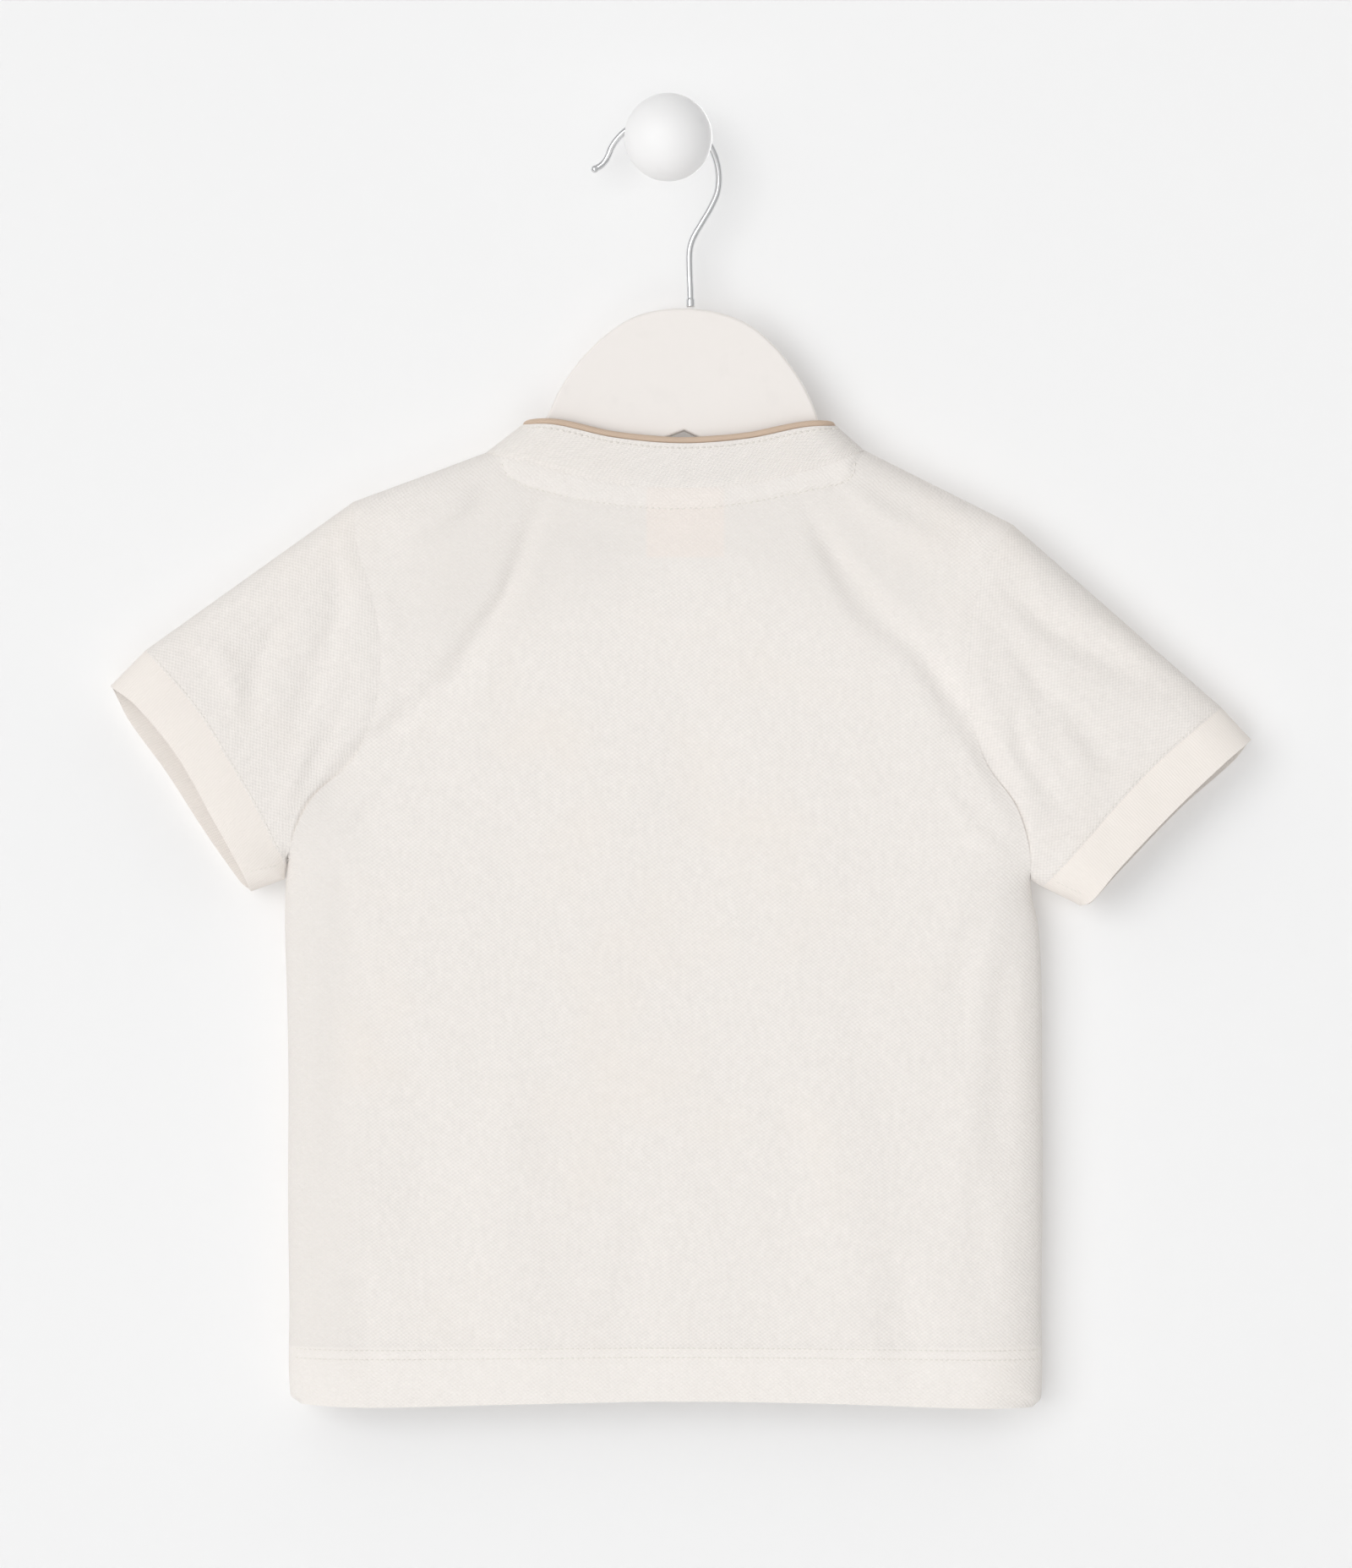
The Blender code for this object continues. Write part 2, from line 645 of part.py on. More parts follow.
def main():
    for obj in list(bpy.data.objects):
        bpy.data.objects.remove(obj)
    shirt = bpy.data.collections.new("henley_t_shirt")
    bpy.context.scene.collection.children.link(shirt)
    frame = bpy.data.objects.new("frame", None)
    shirt.objects.link(frame)

    pique = ((0.855, 0.810, 0.760), 0.9)
    jersey = ((0.880, 0.800, 0.730), 0.9)
    tape_inside = INSIDE_GAP + CLOTH
    label_inside = tape_inside + TAPE_THICK + INSIDE_GAP
    collar_edges = (neck_point, collar_top)
    pieces = [
        (panel("back_panel", BACK), *pique),
        (panel("front_panel", FRONT), *pique),
        (sleeve("sleeve_left", -1), *pique),
        (sleeve("sleeve_right", 1), *pique),
        (cuff("cuff_left", -1), *jersey),
        (cuff("cuff_right", 1), *jersey),
        (band("collar_stand", collar_places(), collar_edges, COLLAR_STEPS, SEAM_GAP), *pique),
        (collar_piping("collar_piping"), (0.617, 0.479, 0.366), 0.85),
        (inside_strip("back_neck_tape", *TAPE_SHARES, tape_inside, TAPE_DROPS, TAPE_THICK, 14), *jersey),
        (inside_strip("neck_label", *LABEL_SHARES, label_inside, LABEL_DROPS, LABEL_THICK, 4), *jersey),
        (placket("placket_under", -SEAM_GAP, 0, PLACKET_THICK), *pique),
        (placket("placket_upper", PLACKET_OVERLAP, SEAM_GAP + PLACKET_THICK, PLACKET_THICK), *pique),
        (hanger_board(), (0.85, 0.84, 0.82), 0.45),
        (hanger_hook(), (0.75, 0.76, 0.78), 0.15, 1.0),
        (wall_knob(), (0.88, 0.88, 0.88), 0.5),
    ]
    for number, share in enumerate(BUTTON_PLACES, start=1):
        pieces.append((button(f"button_{number}", share), (0.85, 0.82, 0.76), 0.35))
    for obj, colour, roughness, *metallic in pieces:
        keep(obj, material(obj.name, colour, roughness, *metallic), frame)


main()
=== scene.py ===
"""The looks of a baby's henley t-shirt hanging on a board hanger from a wall knob.

Laid out as an add-on: each operator builds one piece, or a group of like pieces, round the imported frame.
The shirt's back faces -Y, left is at -X, and the tables are in millimetres.
"""

import json
import math

import bmesh
import bpy
import numpy as np
from mathutils import Matrix, Vector, noise

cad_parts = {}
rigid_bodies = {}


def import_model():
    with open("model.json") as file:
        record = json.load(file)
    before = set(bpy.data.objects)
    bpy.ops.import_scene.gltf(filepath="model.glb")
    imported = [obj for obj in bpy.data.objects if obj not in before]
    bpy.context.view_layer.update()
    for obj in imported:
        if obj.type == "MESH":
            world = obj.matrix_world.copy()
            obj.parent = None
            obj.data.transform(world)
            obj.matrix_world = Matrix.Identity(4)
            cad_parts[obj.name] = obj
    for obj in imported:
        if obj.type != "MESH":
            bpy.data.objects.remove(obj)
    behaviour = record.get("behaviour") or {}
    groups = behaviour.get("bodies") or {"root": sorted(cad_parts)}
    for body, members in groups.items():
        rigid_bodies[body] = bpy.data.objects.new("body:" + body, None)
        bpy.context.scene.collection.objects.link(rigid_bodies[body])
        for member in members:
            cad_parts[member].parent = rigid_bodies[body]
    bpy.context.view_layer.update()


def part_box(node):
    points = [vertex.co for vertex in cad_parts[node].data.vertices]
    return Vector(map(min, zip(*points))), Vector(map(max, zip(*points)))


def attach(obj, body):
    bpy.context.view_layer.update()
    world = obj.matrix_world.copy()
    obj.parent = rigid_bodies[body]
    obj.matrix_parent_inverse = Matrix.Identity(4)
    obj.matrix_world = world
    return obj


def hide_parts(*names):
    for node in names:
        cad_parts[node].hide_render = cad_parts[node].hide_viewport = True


bl_info = {
    "name": "Hanging henley t-shirt",
    "version": (1, 0, 0),
    "blender": (4, 5, 0),
    "location": "3D View > Sidebar > Shirt",
    "description": "Builds a baby's henley t-shirt, its hanger and its wall knob",
    "category": "Add Mesh",
}

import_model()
MM = 0.001

# Construction
SEAM_GAP = 0.006  # clear space between two sewn pieces
MID_Y = -14.0  # plane halfway between the back and the front
HALF_GAP = 0.01  # from that plane to the edge of a panel at a side seam
BACK, FRONT = -1, 1  # the way a face looks along Y
ARMPIT = 0.585  # share of the way up a panel's side
NECK_LEFT, NECK_RIGHT = 0.20, 0.775  # shares of the way across where the neckline starts and ends
SLIT_SHARE = 0.52  # share of the way down the armhole that is level with the slit's end
SLIT_LEFT, SLIT_RIGHT = (NECK_LEFT + share * (NECK_RIGHT - NECK_LEFT) for share in (0.436, 0.564))
SLIT_END = 1 - SLIT_SHARE * (1 - ARMPIT)  # share of the way up a panel where the slit in the front ends
SHOULDER_ROUND, NECK_ROUND, SLEEVE_ROUND, UNDERARM_ROUND, SIDE_ROUND = 10.0, 11.0, 17.0, 18.0, 27.0

# Half the shirt's depth, at a height
DEPTH_ROWS = (
    # height, half depth
    (-470.0, 11.5), (-380.0, 11.0), (-280.0, 10.0), (-200.0, 9.0), (-100.0, 9.0),
)

# Side seams, from the hem to the armpits
SIDE_ROWS = (
    # left x, left z, right x, right z
    (-136.5, -467.0, 135.3, -468.3),
    (-140.2, -464.0, 138.3, -465.0),
    (-140.6, -430.0, 138.4, -428.0),
    (-141.1, -390.0, 138.9, -386.0),
    (-140.9, -350.0, 138.7, -346.0),
    (-141.4, -318.0, 138.4, -310.0),
    (-142.2, -292.0, 137.2, -290.0),
    (-142.0, -276.0, 134.9, -279.0),
    (-141.2, -265.5, 134.4, -273.0),
)

# Armhole seams, from the shoulder to the armpit
ARMHOLE_ROWS = (
    # share of the way, left x, left z, right x, right z
    (0.00, -116.9, -132.9, 127.7, -141.3),
    (0.12, -114.9, -150.5, 117.5, -157.0),
    (0.27, -109.0, -170.0, 112.0, -176.0),
    (0.42, -106.6, -191.0, 111.0, -195.0),
    (0.57, -109.3, -212.0, 112.6, -215.0),
    (0.70, -117.2, -229.0, 118.2, -231.0),
    (0.83, -130.6, -241.4, 128.2, -245.0),
    (0.93, -137.6, -253.6, 133.1, -259.5),
    (1.00, -141.2, -265.5, 134.4, -273.0),
)

# Seams between sleeve and cuff, from the top fold to the underarm
CUFF_SEAM_ROWS = (
    # share of the way, left x, left z, right x, right z
    (0.00, -193.8, -187.8, 205.0, -209.0),
    (0.25, -176.0, -208.3, 183.5, -227.2),
    (0.50, -163.3, -228.0, 166.4, -244.8),
    (0.75, -151.3, -248.8, 150.2, -263.4),
    (0.90, -146.0, -260.0, 143.5, -270.7),
    (0.96, -142.9, -265.4, 140.4, -273.9),
    (1.00, -142.3, -272.8, 138.7, -275.6),
)

# Mouths of the cuffs: the edge in the back half and in the front half
MOUTH_ROWS = (
    # share of the way, then in the back left x, left z, right x and right z, and the same in the front
    (0.00, -207.0, -201.1, 216.2, -221.0, -207.0, -201.1, 216.2, -221.0),
    (0.12, -197.0, -208.5, 206.0, -229.5, -201.0, -213.5, 210.2, -229.0),
    (0.35, -181.8, -227.0, 187.0, -247.5, -187.0, -233.0, 191.2, -246.0),
    (0.65, -168.0, -251.3, 167.0, -268.5, -171.5, -257.0, 169.0, -269.0),
    (0.88, -158.0, -269.5, 156.9, -280.6, -159.5, -273.5, 157.2, -281.3),
    (1.00, -154.8, -277.3, 153.0, -282.6, -154.8, -277.3, 153.0, -282.6),
)

# Neckline seam and the collar's top edge above it, from the left neck point to the right one
NECK_ROWS = (
    # share of the way, then x and z four times: seam in the back, in the front, edge in the back, in the front
    (0.00, -67.7, -114.7, -67.7, -114.7, -54.5, -104.4, -54.5, -104.4),
    (0.13, -50.0, -119.0, -52.5, -134.5, -41.5, -104.8, -41.5, -120.5),
    (0.30, -26.0, -125.2, -27.0, -151.5, -20.5, -109.4, -20.5, -136.0),
    (0.50, 4.0, -128.1, 3.0, -156.5, 4.5, -111.6, 3.0, -140.3),
    (0.70, 33.0, -125.8, 33.0, -151.0, 29.0, -109.9, 27.5, -135.5),
    (0.87, 57.0, -120.0, 57.5, -134.0, 49.5, -105.8, 47.5, -120.0),
    (1.00, 72.7, -113.8, 72.7, -113.8, 62.5, -104.8, 62.5, -104.8),
)

# Hem, from left to right
HEM_ROWS = (
    # share of the way, rise of the edge above the line between its corners
    (0.00, 0.0), (0.10, -0.6), (0.30, 0.9), (0.50, 2.2), (0.70, 1.8), (0.90, 0.2), (1.00, 0.0),
)

# Hanger, in its own frame: its top is the origin and both halves are alike
HANGER_TOP = (8.2, -61.3)
HANGER_TILT = math.radians(3.0)
BOARD_ROUNDING = 1.1
HANGER_ROWS = (
    # offset from the middle, drop to the upper edge
    (0.0, 0.0), (11.0, 1.2), (22.0, 5.0), (32.0, 12.6),
    (41.0, 23.0), (47.0, 33.0), (50.4, 41.5), (54.6, 48.7),
    (61.5, 56.2), (70.0, 61.4), (80.0, 66.0),
)
ARM_SLOPE = math.tan(math.radians(22.6))
ARM_END, ARM_END_RADIUS = 106.0, 7.5
HANGER_LOWER_APEX = 45.3

# Hook wire: its middle line, from the ball tip to the board
HOOK_ROWS = (
    # x, z
    (-28.9, -9.9), (-28.2, -9.7), (-26.8, -9.2), (-24.2, -7.4), (-22.4, -4.6),
    (-21.0, -1.2), (-18.7, 2.1), (-15.2, 5.3), (-10.4, 8.1), (-4.6, 9.6),
    (1.4, 9.4), (7.0, 7.5), (12.0, 3.8), (15.8, -1.4), (17.9, -6.8),
    (18.7, -12.4), (18.1, -18.2), (15.6, -23.9), (12.4, -29.4), (9.3, -34.8),
    (7.9, -39.6), (7.8, -46.0), (8.1, -54.0), (8.2, -58.0), (8.2, -60.9),
)
BALL_TIP = 1.44  # radius of the ball at the wire's end
FERRULE_TOP = -57.8  # below this the wire is thicker, where it enters the board
BALL_CENTRE, STEM_RADIUS = 38.0, 7.9  # the knob's ball from the wall, and its stem

# Grids
EDGE_SHARE = 0.1  # share of a panel's width over which its columns close in on a side seam
PANEL_WIDTH, PANEL_HEIGHT, PLACKET_WIDTH = 280.0, 342.0, 225.0  # what a whole share of a grid is worth there
HEM_SHARE, TOP_SHARE = 0.07, 0.94
HEM_LINE = -467.5  # height of the hem's corners
COLLAR_SPLIT = 0.006  # half the gap between the collar's front ends, as a share of the neckline
COLLAR_HEIGHT, EDGE_STITCH = 16.0, 1.7  # the edge stitches run this far below the collar's top
SLIT_CLEAR, PLACKET_LIFT = 0.3, 1.12  # round the layer under the slit, and of the layer over it
PLACKET_SPREAD, PLACKET_INSET = 2.0, 1.1  # how far the upper layer goes past the slit, and its stitches lie inside it
PLACKET_THICK = 1.0
SLEEVE_GRAIN, COLLAR_GRAIN = math.radians(-51), math.radians(7)  # how the knit's columns lean there
COLLAR_ROLL = (0.9, 0.8 * math.pi)  # part of a sine wave that the collar's lift follows from its foot to its top
BUTTON_HOLES = ((0.95, 0.95), (-0.95, 0.95), (-0.95, -0.95), (0.95, -0.95))
THREAD_RISE = 0.62  # of the thread over a button's middle plane
BUTTONHOLE_SIDES, BUTTONHOLE_REACH = (-0.75, 0.75), 6.4  # where its two rows lie, and half its length

# What shows through the cloth, and the painted shade over the hanger and along the sides; between the two numbers of
# a pair it comes in or goes out
HEM_TOP = (HEM_LINE + 21.6, HEM_LINE + 22.4)
HANGER_SHADE_HEIGHTS, HANGER_SHADE_WIDTHS, SIDE_SHADE = (-178.0, -128.0), (70.0, 128.0), (98.0, 140.0)
LABEL_LEFT, LABEL_RIGHT, LABEL_LOW, LABEL_TOP = (-9.0, -7.2), (19.7, 21.5), (-154.6, -152.8), (-128.8, -127.4)
LABEL_GLOW = (0.900, 0.800, 0.735, 1)

# Stage: its sheets in millimetres, and the camera and the lights in metres
STAGE_SHEETS = (
    ("wall", ((-3000, 0, -1500), (3000, 0, -1500), (3000, 0, 2200), (-3000, 0, 2200))),
    ("floor", ((-3000, -4000, -1500), (3000, -4000, -1500), (3000, 1500, -1500), (-3000, 1500, -1500))),
)
CAMERA_PLACE = (0.00282, -2.414, -0.2375)
KEY_PLACE, FRONT_PLACE, LIGHT_AIM = (-1.0, -1.9, -0.12), (0.5, 2.2, 0.25), (0.0, 0.0, -0.25)
FILL_PLACE = (-0.3, -1.6, -1.3)
STARTUP_OBJECTS = ("Cube", "Light", "Camera")

# Creases: a line, how far its middle bows to the left of the way it runs, its half width, and its depth
BACK_CREASES = (
    # x, z, to x, to z, bow, half width, depth; a negative depth is a ridge
    (-45.0, -132.0, -88.0, -214.0, 2.0, 5.5, 1.5),
    (-58.0, -158.0, -70.0, -182.0, 1.0, 3.2, 0.7),
    (-84.0, -206.0, -134.0, -250.0, -4.0, 6.0, 1.5),
    (-66.0, -178.0, -112.0, -226.0, 5.0, 9.0, 1.0),
    (50.0, -136.0, 94.0, -192.0, -2.5, 6.0, 2.0),
    (60.0, -150.0, 84.0, -178.0, 1.5, 3.4, 0.9),
    (86.0, -182.0, 131.0, -256.0, 5.0, 6.0, 2.1),
    (96.0, -190.0, 112.0, -222.0, 2.0, 9.0, 1.1),
    (-70.0, -128.0, -104.0, -149.0, 2.0, 6.5, -1.5),
    (66.0, -128.0, 104.0, -150.0, -2.0, 6.5, -1.5),
    (-50.0, -143.0, 56.0, -143.0, -2.0, 8.5, 1.1),
    (-30.0, -160.0, 36.0, -162.0, 3.0, 11.0, 0.6),
    (-104.0, -232.0, -136.0, -262.0, 3.0, 3.4, -0.7),
    (100.0, -236.0, 128.0, -268.0, -3.0, 3.6, -0.8),
    (-126.0, -262.0, -112.0, -330.0, 3.0, 6.5, 0.7),
    (118.0, -272.0, 108.0, -340.0, -4.0, 7.0, 0.8),
    (-123.0, -292.0, -126.0, -388.0, 2.0, 7.0, 0.8),
    (126.0, -290.0, 124.0, -402.0, -3.0, 7.5, 1.4),
    (112.0, -372.0, 116.0, -446.0, 2.0, 6.5, 0.9),
    (-98.0, -330.0, -92.0, -420.0, 3.0, 13.0, 0.5),
    (56.0, -330.0, 70.0, -462.0, 3.0, 17.0, -1.0),
    (-60.0, -340.0, -54.0, -462.0, -3.0, 18.0, -1.0),
    (8.0, -200.0, 2.0, -330.0, 4.0, 20.0, 0.6),
    (84.0, -410.0, 90.0, -464.0, 0.0, 9.0, 0.8),
    (-116.0, -408.0, -112.0, -462.0, 0.0, 8.0, 0.7),
    (-8.0, -392.0, -20.0, -462.0, 0.0, 11.0, 0.6),
)
FRONT_CREASES = (
    # x, z, to x, to z, bow, half width, depth
    (-58.0, -150.0, -92.0, -212.0, 2.0, 6.0, 1.5),
    (-90.0, -206.0, -132.0, -252.0, -4.0, 6.5, 1.6),
    (60.0, -150.0, 98.0, -206.0, -2.0, 6.0, 1.7),
    (94.0, -200.0, 130.0, -258.0, 4.0, 6.5, 1.7),
    (-74.0, -132.0, -104.0, -150.0, 2.0, 6.5, -1.2),
    (72.0, -132.0, 106.0, -152.0, -2.0, 6.5, -1.2),
    (-26.0, -224.0, -60.0, -300.0, 6.0, 12.0, 0.9),
    (24.0, -226.0, 54.0, -310.0, -6.0, 12.0, 0.9),
    (-46.0, -250.0, -68.0, -400.0, 4.0, 16.0, 1.0),
    (50.0, -270.0, 62.0, -420.0, -4.0, 16.0, 1.0),
    (-4.0, -350.0, -6.0, -462.0, 3.0, 18.0, -1.0),
    (-112.0, -300.0, -118.0, -420.0, 2.0, 9.0, 0.9),
    (114.0, -296.0, 118.0, -412.0, -2.0, 9.0, 1.1),
)
SLEEVE_CREASES = (
    # x, z, to x, to z, bow, half width, depth, on the back and on the front alike
    (-121.0, -156.0, -143.0, -226.0, 4.0, 6.0, 1.4),
    (-140.0, -176.0, -156.0, -214.0, -3.0, 5.0, 1.1),
    (-170.0, -184.0, -158.0, -212.0, 2.0, 6.0, -1.0),
    (-122.0, -206.0, -140.0, -244.0, 2.0, 4.5, 0.9),
    (-134.0, -214.0, -146.0, -252.0, 2.0, 4.0, -0.7),
    (-150.0, -168.0, -182.0, -196.0, -2.0, 5.0, 0.6),
    (126.0, -164.0, 190.0, -206.0, -4.0, 6.5, 1.9),
    (124.0, -184.0, 168.0, -230.0, -3.0, 6.0, 1.1),
    (128.0, -210.0, 148.0, -252.0, -3.0, 5.0, 1.1),
    (148.0, -170.0, 178.0, -190.0, 2.0, 5.0, -0.8),
    (140.0, -206.0, 156.0, -238.0, 2.0, 5.0, -0.9),
)
UNDERARM_ENDS = {  # on the cuffs: the row of stitches near the underarm, and the edge of the turned end below it
    -1: (((-156.1, -270.2), (-143.4, -267.3)), ((-154.4, -275.9), (-143.0, -270.9))),
    1: (((153.9, -278.6), (141.8, -272.9)), ((152.4, -281.6), (138.6, -275.4))),
}
UNEVEN = (0.35, 0.55)  # noise on the cloth's depth: broad and small, in millimetres
COLLAR_LIFT = 0.5  # how far the collar lies outside the panels
HEM_STITCHES = (21.2, 17.8)  # heights of the twin rows above the hem's corners
TAPE_STITCH_ROWS = (
    # x, z of the row that holds the neck tape
    (-61.8, -118.5), (-60.9, -121.5), (-59.0, -124.0), (-55.0, -126.3), (-49.1, -128.6),
    (-33.2, -132.3), (-17.3, -134.7), (-1.4, -135.8), (14.5, -135.5), (30.4, -133.4),
    (46.3, -130.2), (62.2, -126.8), (66.4, -125.4), (68.6, -122.6), (69.1, -118.0),
)


# Curves read from the tables


def smooth(rows, places, column):
    """A column of a table at these places in its first column, through the rows without corners."""
    table = np.array([(row[0], row[column]) for row in rows])
    places = np.asarray(places, float)
    x, y = table.T
    last = len(x) - 1
    i = np.clip(np.searchsorted(x, places) - 1, 0, last - 1)
    low, high = np.maximum(np.arange(last + 1) - 1, 0), np.minimum(np.arange(last + 1) + 1, last)
    slopes = (y[high] - y[low]) / (x[high] - x[low])
    step = x[i + 1] - x[i]
    share = (places - x[i]) / step
    start, end, leaving, arriving = y[i], y[i + 1], slopes[i] * step, slopes[i + 1] * step
    a = 2 * (start - end) + leaving + arriving
    b = 3 * (end - start) - 2 * leaving - arriving
    return ((a * share + b) * share + leaving) * share + start


def points_of(*columns):
    return np.stack(np.broadcast_arrays(*columns), -1)


def mix(start, end, share):
    """Points between two rows of points."""
    return start + (end - start) * np.asarray(share)[..., None]


def length(vectors):
    return np.sqrt((vectors**2).sum(-1))


def unit(vectors):
    return vectors / np.maximum(length(vectors), 1e-9)[..., None]


def table_points(rows, shares, column):
    """Points (x, z) at these shares, from a column of x and the column of z after it."""
    return points_of(smooth(rows, shares, column), smooth(rows, shares, column + 1))


def plan(rows, shares, side, face=BACK):
    """Points of a seam whose table has a pair of columns for each side, and for each face where they differ."""
    return table_points(rows, shares, (1 if side < 0 else 3) + (0 if face == BACK else 4))


def side_seam(shares, side):
    """Points of a side seam, from the hem to the armpit, by their height."""
    column = 0 if side < 0 else 2
    rows = [(row[column + 1], row[column]) for row in SIDE_ROWS]
    heights = rows[0][0] + np.asarray(shares) * (rows[-1][0] - rows[0][0])
    return points_of(smooth(rows, heights, 1), heights)


def neck_point(face, shares):
    return table_points(NECK_ROWS, shares, 1 if face == BACK else 3)


def collar_top(face, shares):
    return table_points(NECK_ROWS, shares, 5 if face == BACK else 7)


def panel_side(ups, side):
    """Points of a panel's side: its side seam, then its armhole."""
    inward = unit(neck_point(BACK, 0 if side < 0 else 1) - plan(ARMHOLE_ROWS, 0, side))
    low = side_seam(np.minimum(ups / ARMPIT, 1), side)
    high = plan(ARMHOLE_ROWS, np.clip((1 - ups) / (1 - ARMPIT), 0, 1), side) + inward * SEAM_GAP
    return np.where((ups <= ARMPIT)[..., None], low, high)


def panel_top(face, across):
    """Points of a panel's top: a shoulder, the neckline, then the other shoulder."""
    top = np.ones(1)
    left = mix(panel_side(top, -1), neck_point(face, 0), across / NECK_LEFT)
    right = mix(neck_point(face, 1), panel_side(top, 1), (across - NECK_RIGHT) / (1 - NECK_RIGHT))
    neck = neck_point(face, np.clip((across - NECK_LEFT) / (NECK_RIGHT - NECK_LEFT), 0, 1))
    high = np.where((across < NECK_LEFT)[..., None], left, neck)
    return np.where((across > NECK_RIGHT)[..., None], right, high)


def hem_point(across):
    ends = np.zeros(1)
    points = mix(panel_side(ends, -1), panel_side(ends, 1), across)
    points[..., 1] += smooth(HEM_ROWS, across, 1)
    return points


def panel_plan(face, across, ups):
    """Points (x, z) of a panel, blended from its four edges."""
    across, ups = np.broadcast_arrays(np.asarray(across, float), np.asarray(ups, float))
    ends = np.array([0.0, 1.0])
    low, high = hem_point(across), panel_top(face, across)
    left, right = panel_side(ups, -1), panel_side(ups, 1)
    low_ends, high_ends = hem_point(ends), panel_top(face, ends)
    low_corners = mix(low_ends[0], low_ends[1], across)
    high_corners = mix(high_ends[0], high_ends[1], across)
    return mix(low, high, ups) + mix(left, right, across) - mix(low_corners, high_corners, ups)


# The shirt's depth


def nearest(points, start, end):
    """The share of the way along a line that lies nearest to each point, and the distance there."""
    way = np.asarray(end) - start
    shares = np.clip(((points - start) @ way) / (way @ way), 0, 1)
    return shares, length(points - start - shares[..., None] * way)


def near_line(points, line):
    """The distance from each point to a line of many points, and how far along the line that is."""
    least, along, done = np.full(points.shape[:-1], np.inf), np.zeros(points.shape[:-1]), 0.0
    for start, end in zip(line, line[1:]):
        step = length(end - start)
        shares, distances = nearest(points, start, end)
        closer = distances < least
        least = np.where(closer, distances, least)
        along = np.where(closer, done + shares * step, along)
        done += step
    return least, along


# Shares of the way up a side seam, nearer together at the hem's corner and below the armpit
FOLD_SHARES = [*np.linspace(0, 0.02, 7), *np.linspace(0.03, 0.6, 18), *np.linspace(0.62, 0.99, 36)]


def fold_lines():
    """Where the back turns into the front: pieces of line, each with its rounding at both ends."""
    lines = []
    for side in (-1, 1):
        seam = [(side_seam(share, side), SIDE_ROUND) for share in FOLD_SHARES]
        armpit = (plan(ARMHOLE_ROWS, 1, side), UNDERARM_ROUND)
        under = [(plan(rows, 1, side), UNDERARM_ROUND) for rows in (CUFF_SEAM_ROWS, MOUTH_ROWS)]
        over = [(plan(rows, 0, side), SLEEVE_ROUND) for rows in (MOUTH_ROWS, CUFF_SEAM_ROWS)]
        shoulder = (plan(ARMHOLE_ROWS, 0, side), SHOULDER_ROUND)
        end = 0 if side < 0 else 1
        neck = [(neck_point(BACK, end), NECK_ROUND), (collar_top(BACK, end), NECK_ROUND)]
        lower = seam + [armpit] + under
        upper = over + [shoulder] + neck
        lines += list(zip(lower, lower[1:])) + list(zip(upper, upper[1:]))
    return lines


FOLD_LINES = fold_lines()
SEAM_SHARES = np.linspace(0, 1, 41)
ARMHOLES = {side: plan(ARMHOLE_ROWS, SEAM_SHARES, side) for side in (-1, 1)}
CUFF_SEAMS = {side: plan(CUFF_SEAM_ROWS, SEAM_SHARES, side) for side in (-1, 1)}
NECKLINES = {face: neck_point(face, SEAM_SHARES) for face in (BACK, FRONT)}
TAPE_STITCHES = np.array(TAPE_STITCH_ROWS)
SEAM_RELIEFS = {
    # trough, its width; ridge, its distance, its width; puckers, their distance, width, wave, sway, slow wave
    "armhole": (0.1, 1.4, 0.2, 4.5, 3.0, 0.14, 4.0, 3.6, 2.9, 2.2, 11.0),
    "cuff": (0.12, 1.0, 0.0, 4.5, 3.0, 0.1, 2.5, 2.6, 2.1, 1.7, 9.0),
    "neck": (0.35, 0.9, 0.0, 4.5, 3.0, 0.1, 2.5, 2.0, 1.9, 0.0, 9.0),
}
UNDERARM_SINKS, UNDERARM_WIDTH = (0.25, 0.45), 0.8  # at the row of stitches and at the turned end


def roundness(points):
    """0 on a fold line and 1 where the cloth has its full depth, as a quarter of an ellipse."""
    least = np.ones(points.shape[:-1])
    for (start, start_round), (end, end_round) in FOLD_LINES:
        shares, distances = nearest(points, start, end)
        reach = np.minimum(distances / (start_round + (end_round - start_round) * shares), 1)
        least = np.minimum(least, np.sqrt(np.maximum(1 - (1 - reach) ** 2, 0)))
    return least


def bump(distances, width):
    """1 at no distance, and next to nothing beyond two widths."""
    return np.exp(-((distances / width) ** 2))


def eased(values, low, high):
    """0 below low and 1 above high, without corners."""
    share = np.clip((values - low) / (high - low), 0, 1)
    return share * share * (3 - 2 * share)


def crease_depth(points, creases):
    """How deep the creases are: soft troughs with a low lip along each side, fading at their ends."""
    depth = np.zeros(points.shape[:-1])
    for x, z, to_x, to_z, bow, width, sink in creases:
        start, way = np.array((x, z)), np.array((to_x - x, to_z - z))
        share = ((points - start) @ way) / (way @ way)
        normal = np.array((-way[1], way[0])) / length(way)
        side = (points - start) @ normal - 4 * bow * share * (1 - share)
        width = width * (0.75 + 0.5 * np.clip(share, 0, 1))
        fade = eased(share, -0.12, 0.3) * (1 - eased(share, 0.65, 1.15))
        depth += sink * fade * bump(side, width) * (1 - 0.55 * (side / width) ** 2)
    return depth


def wander(points, scale, seed):
    """Smooth noise, about -1 to 1, over a distance of this many millimetres."""
    flat = points.reshape(-1, 2) / scale
    values = [noise.noise(Vector((x, z, seed))) for x, z in flat.tolist()]
    return np.array(values).reshape(points.shape[:-1])


def sewn(depth, points, line, sink, narrow, ridge, off, wide, pull, beside, reach, wave, sway, slow):
    """The depth with a seam in it: its trough, the ridge of its turnings and the puckers beside it."""
    distances, along = near_line(points, line)
    pucker = np.sin(along / wave + sway * np.sin(along / slow)) * bump(distances - beside, reach)
    return depth - sink * bump(distances, narrow) + ridge * bump(distances - off, wide) + pull * pucker


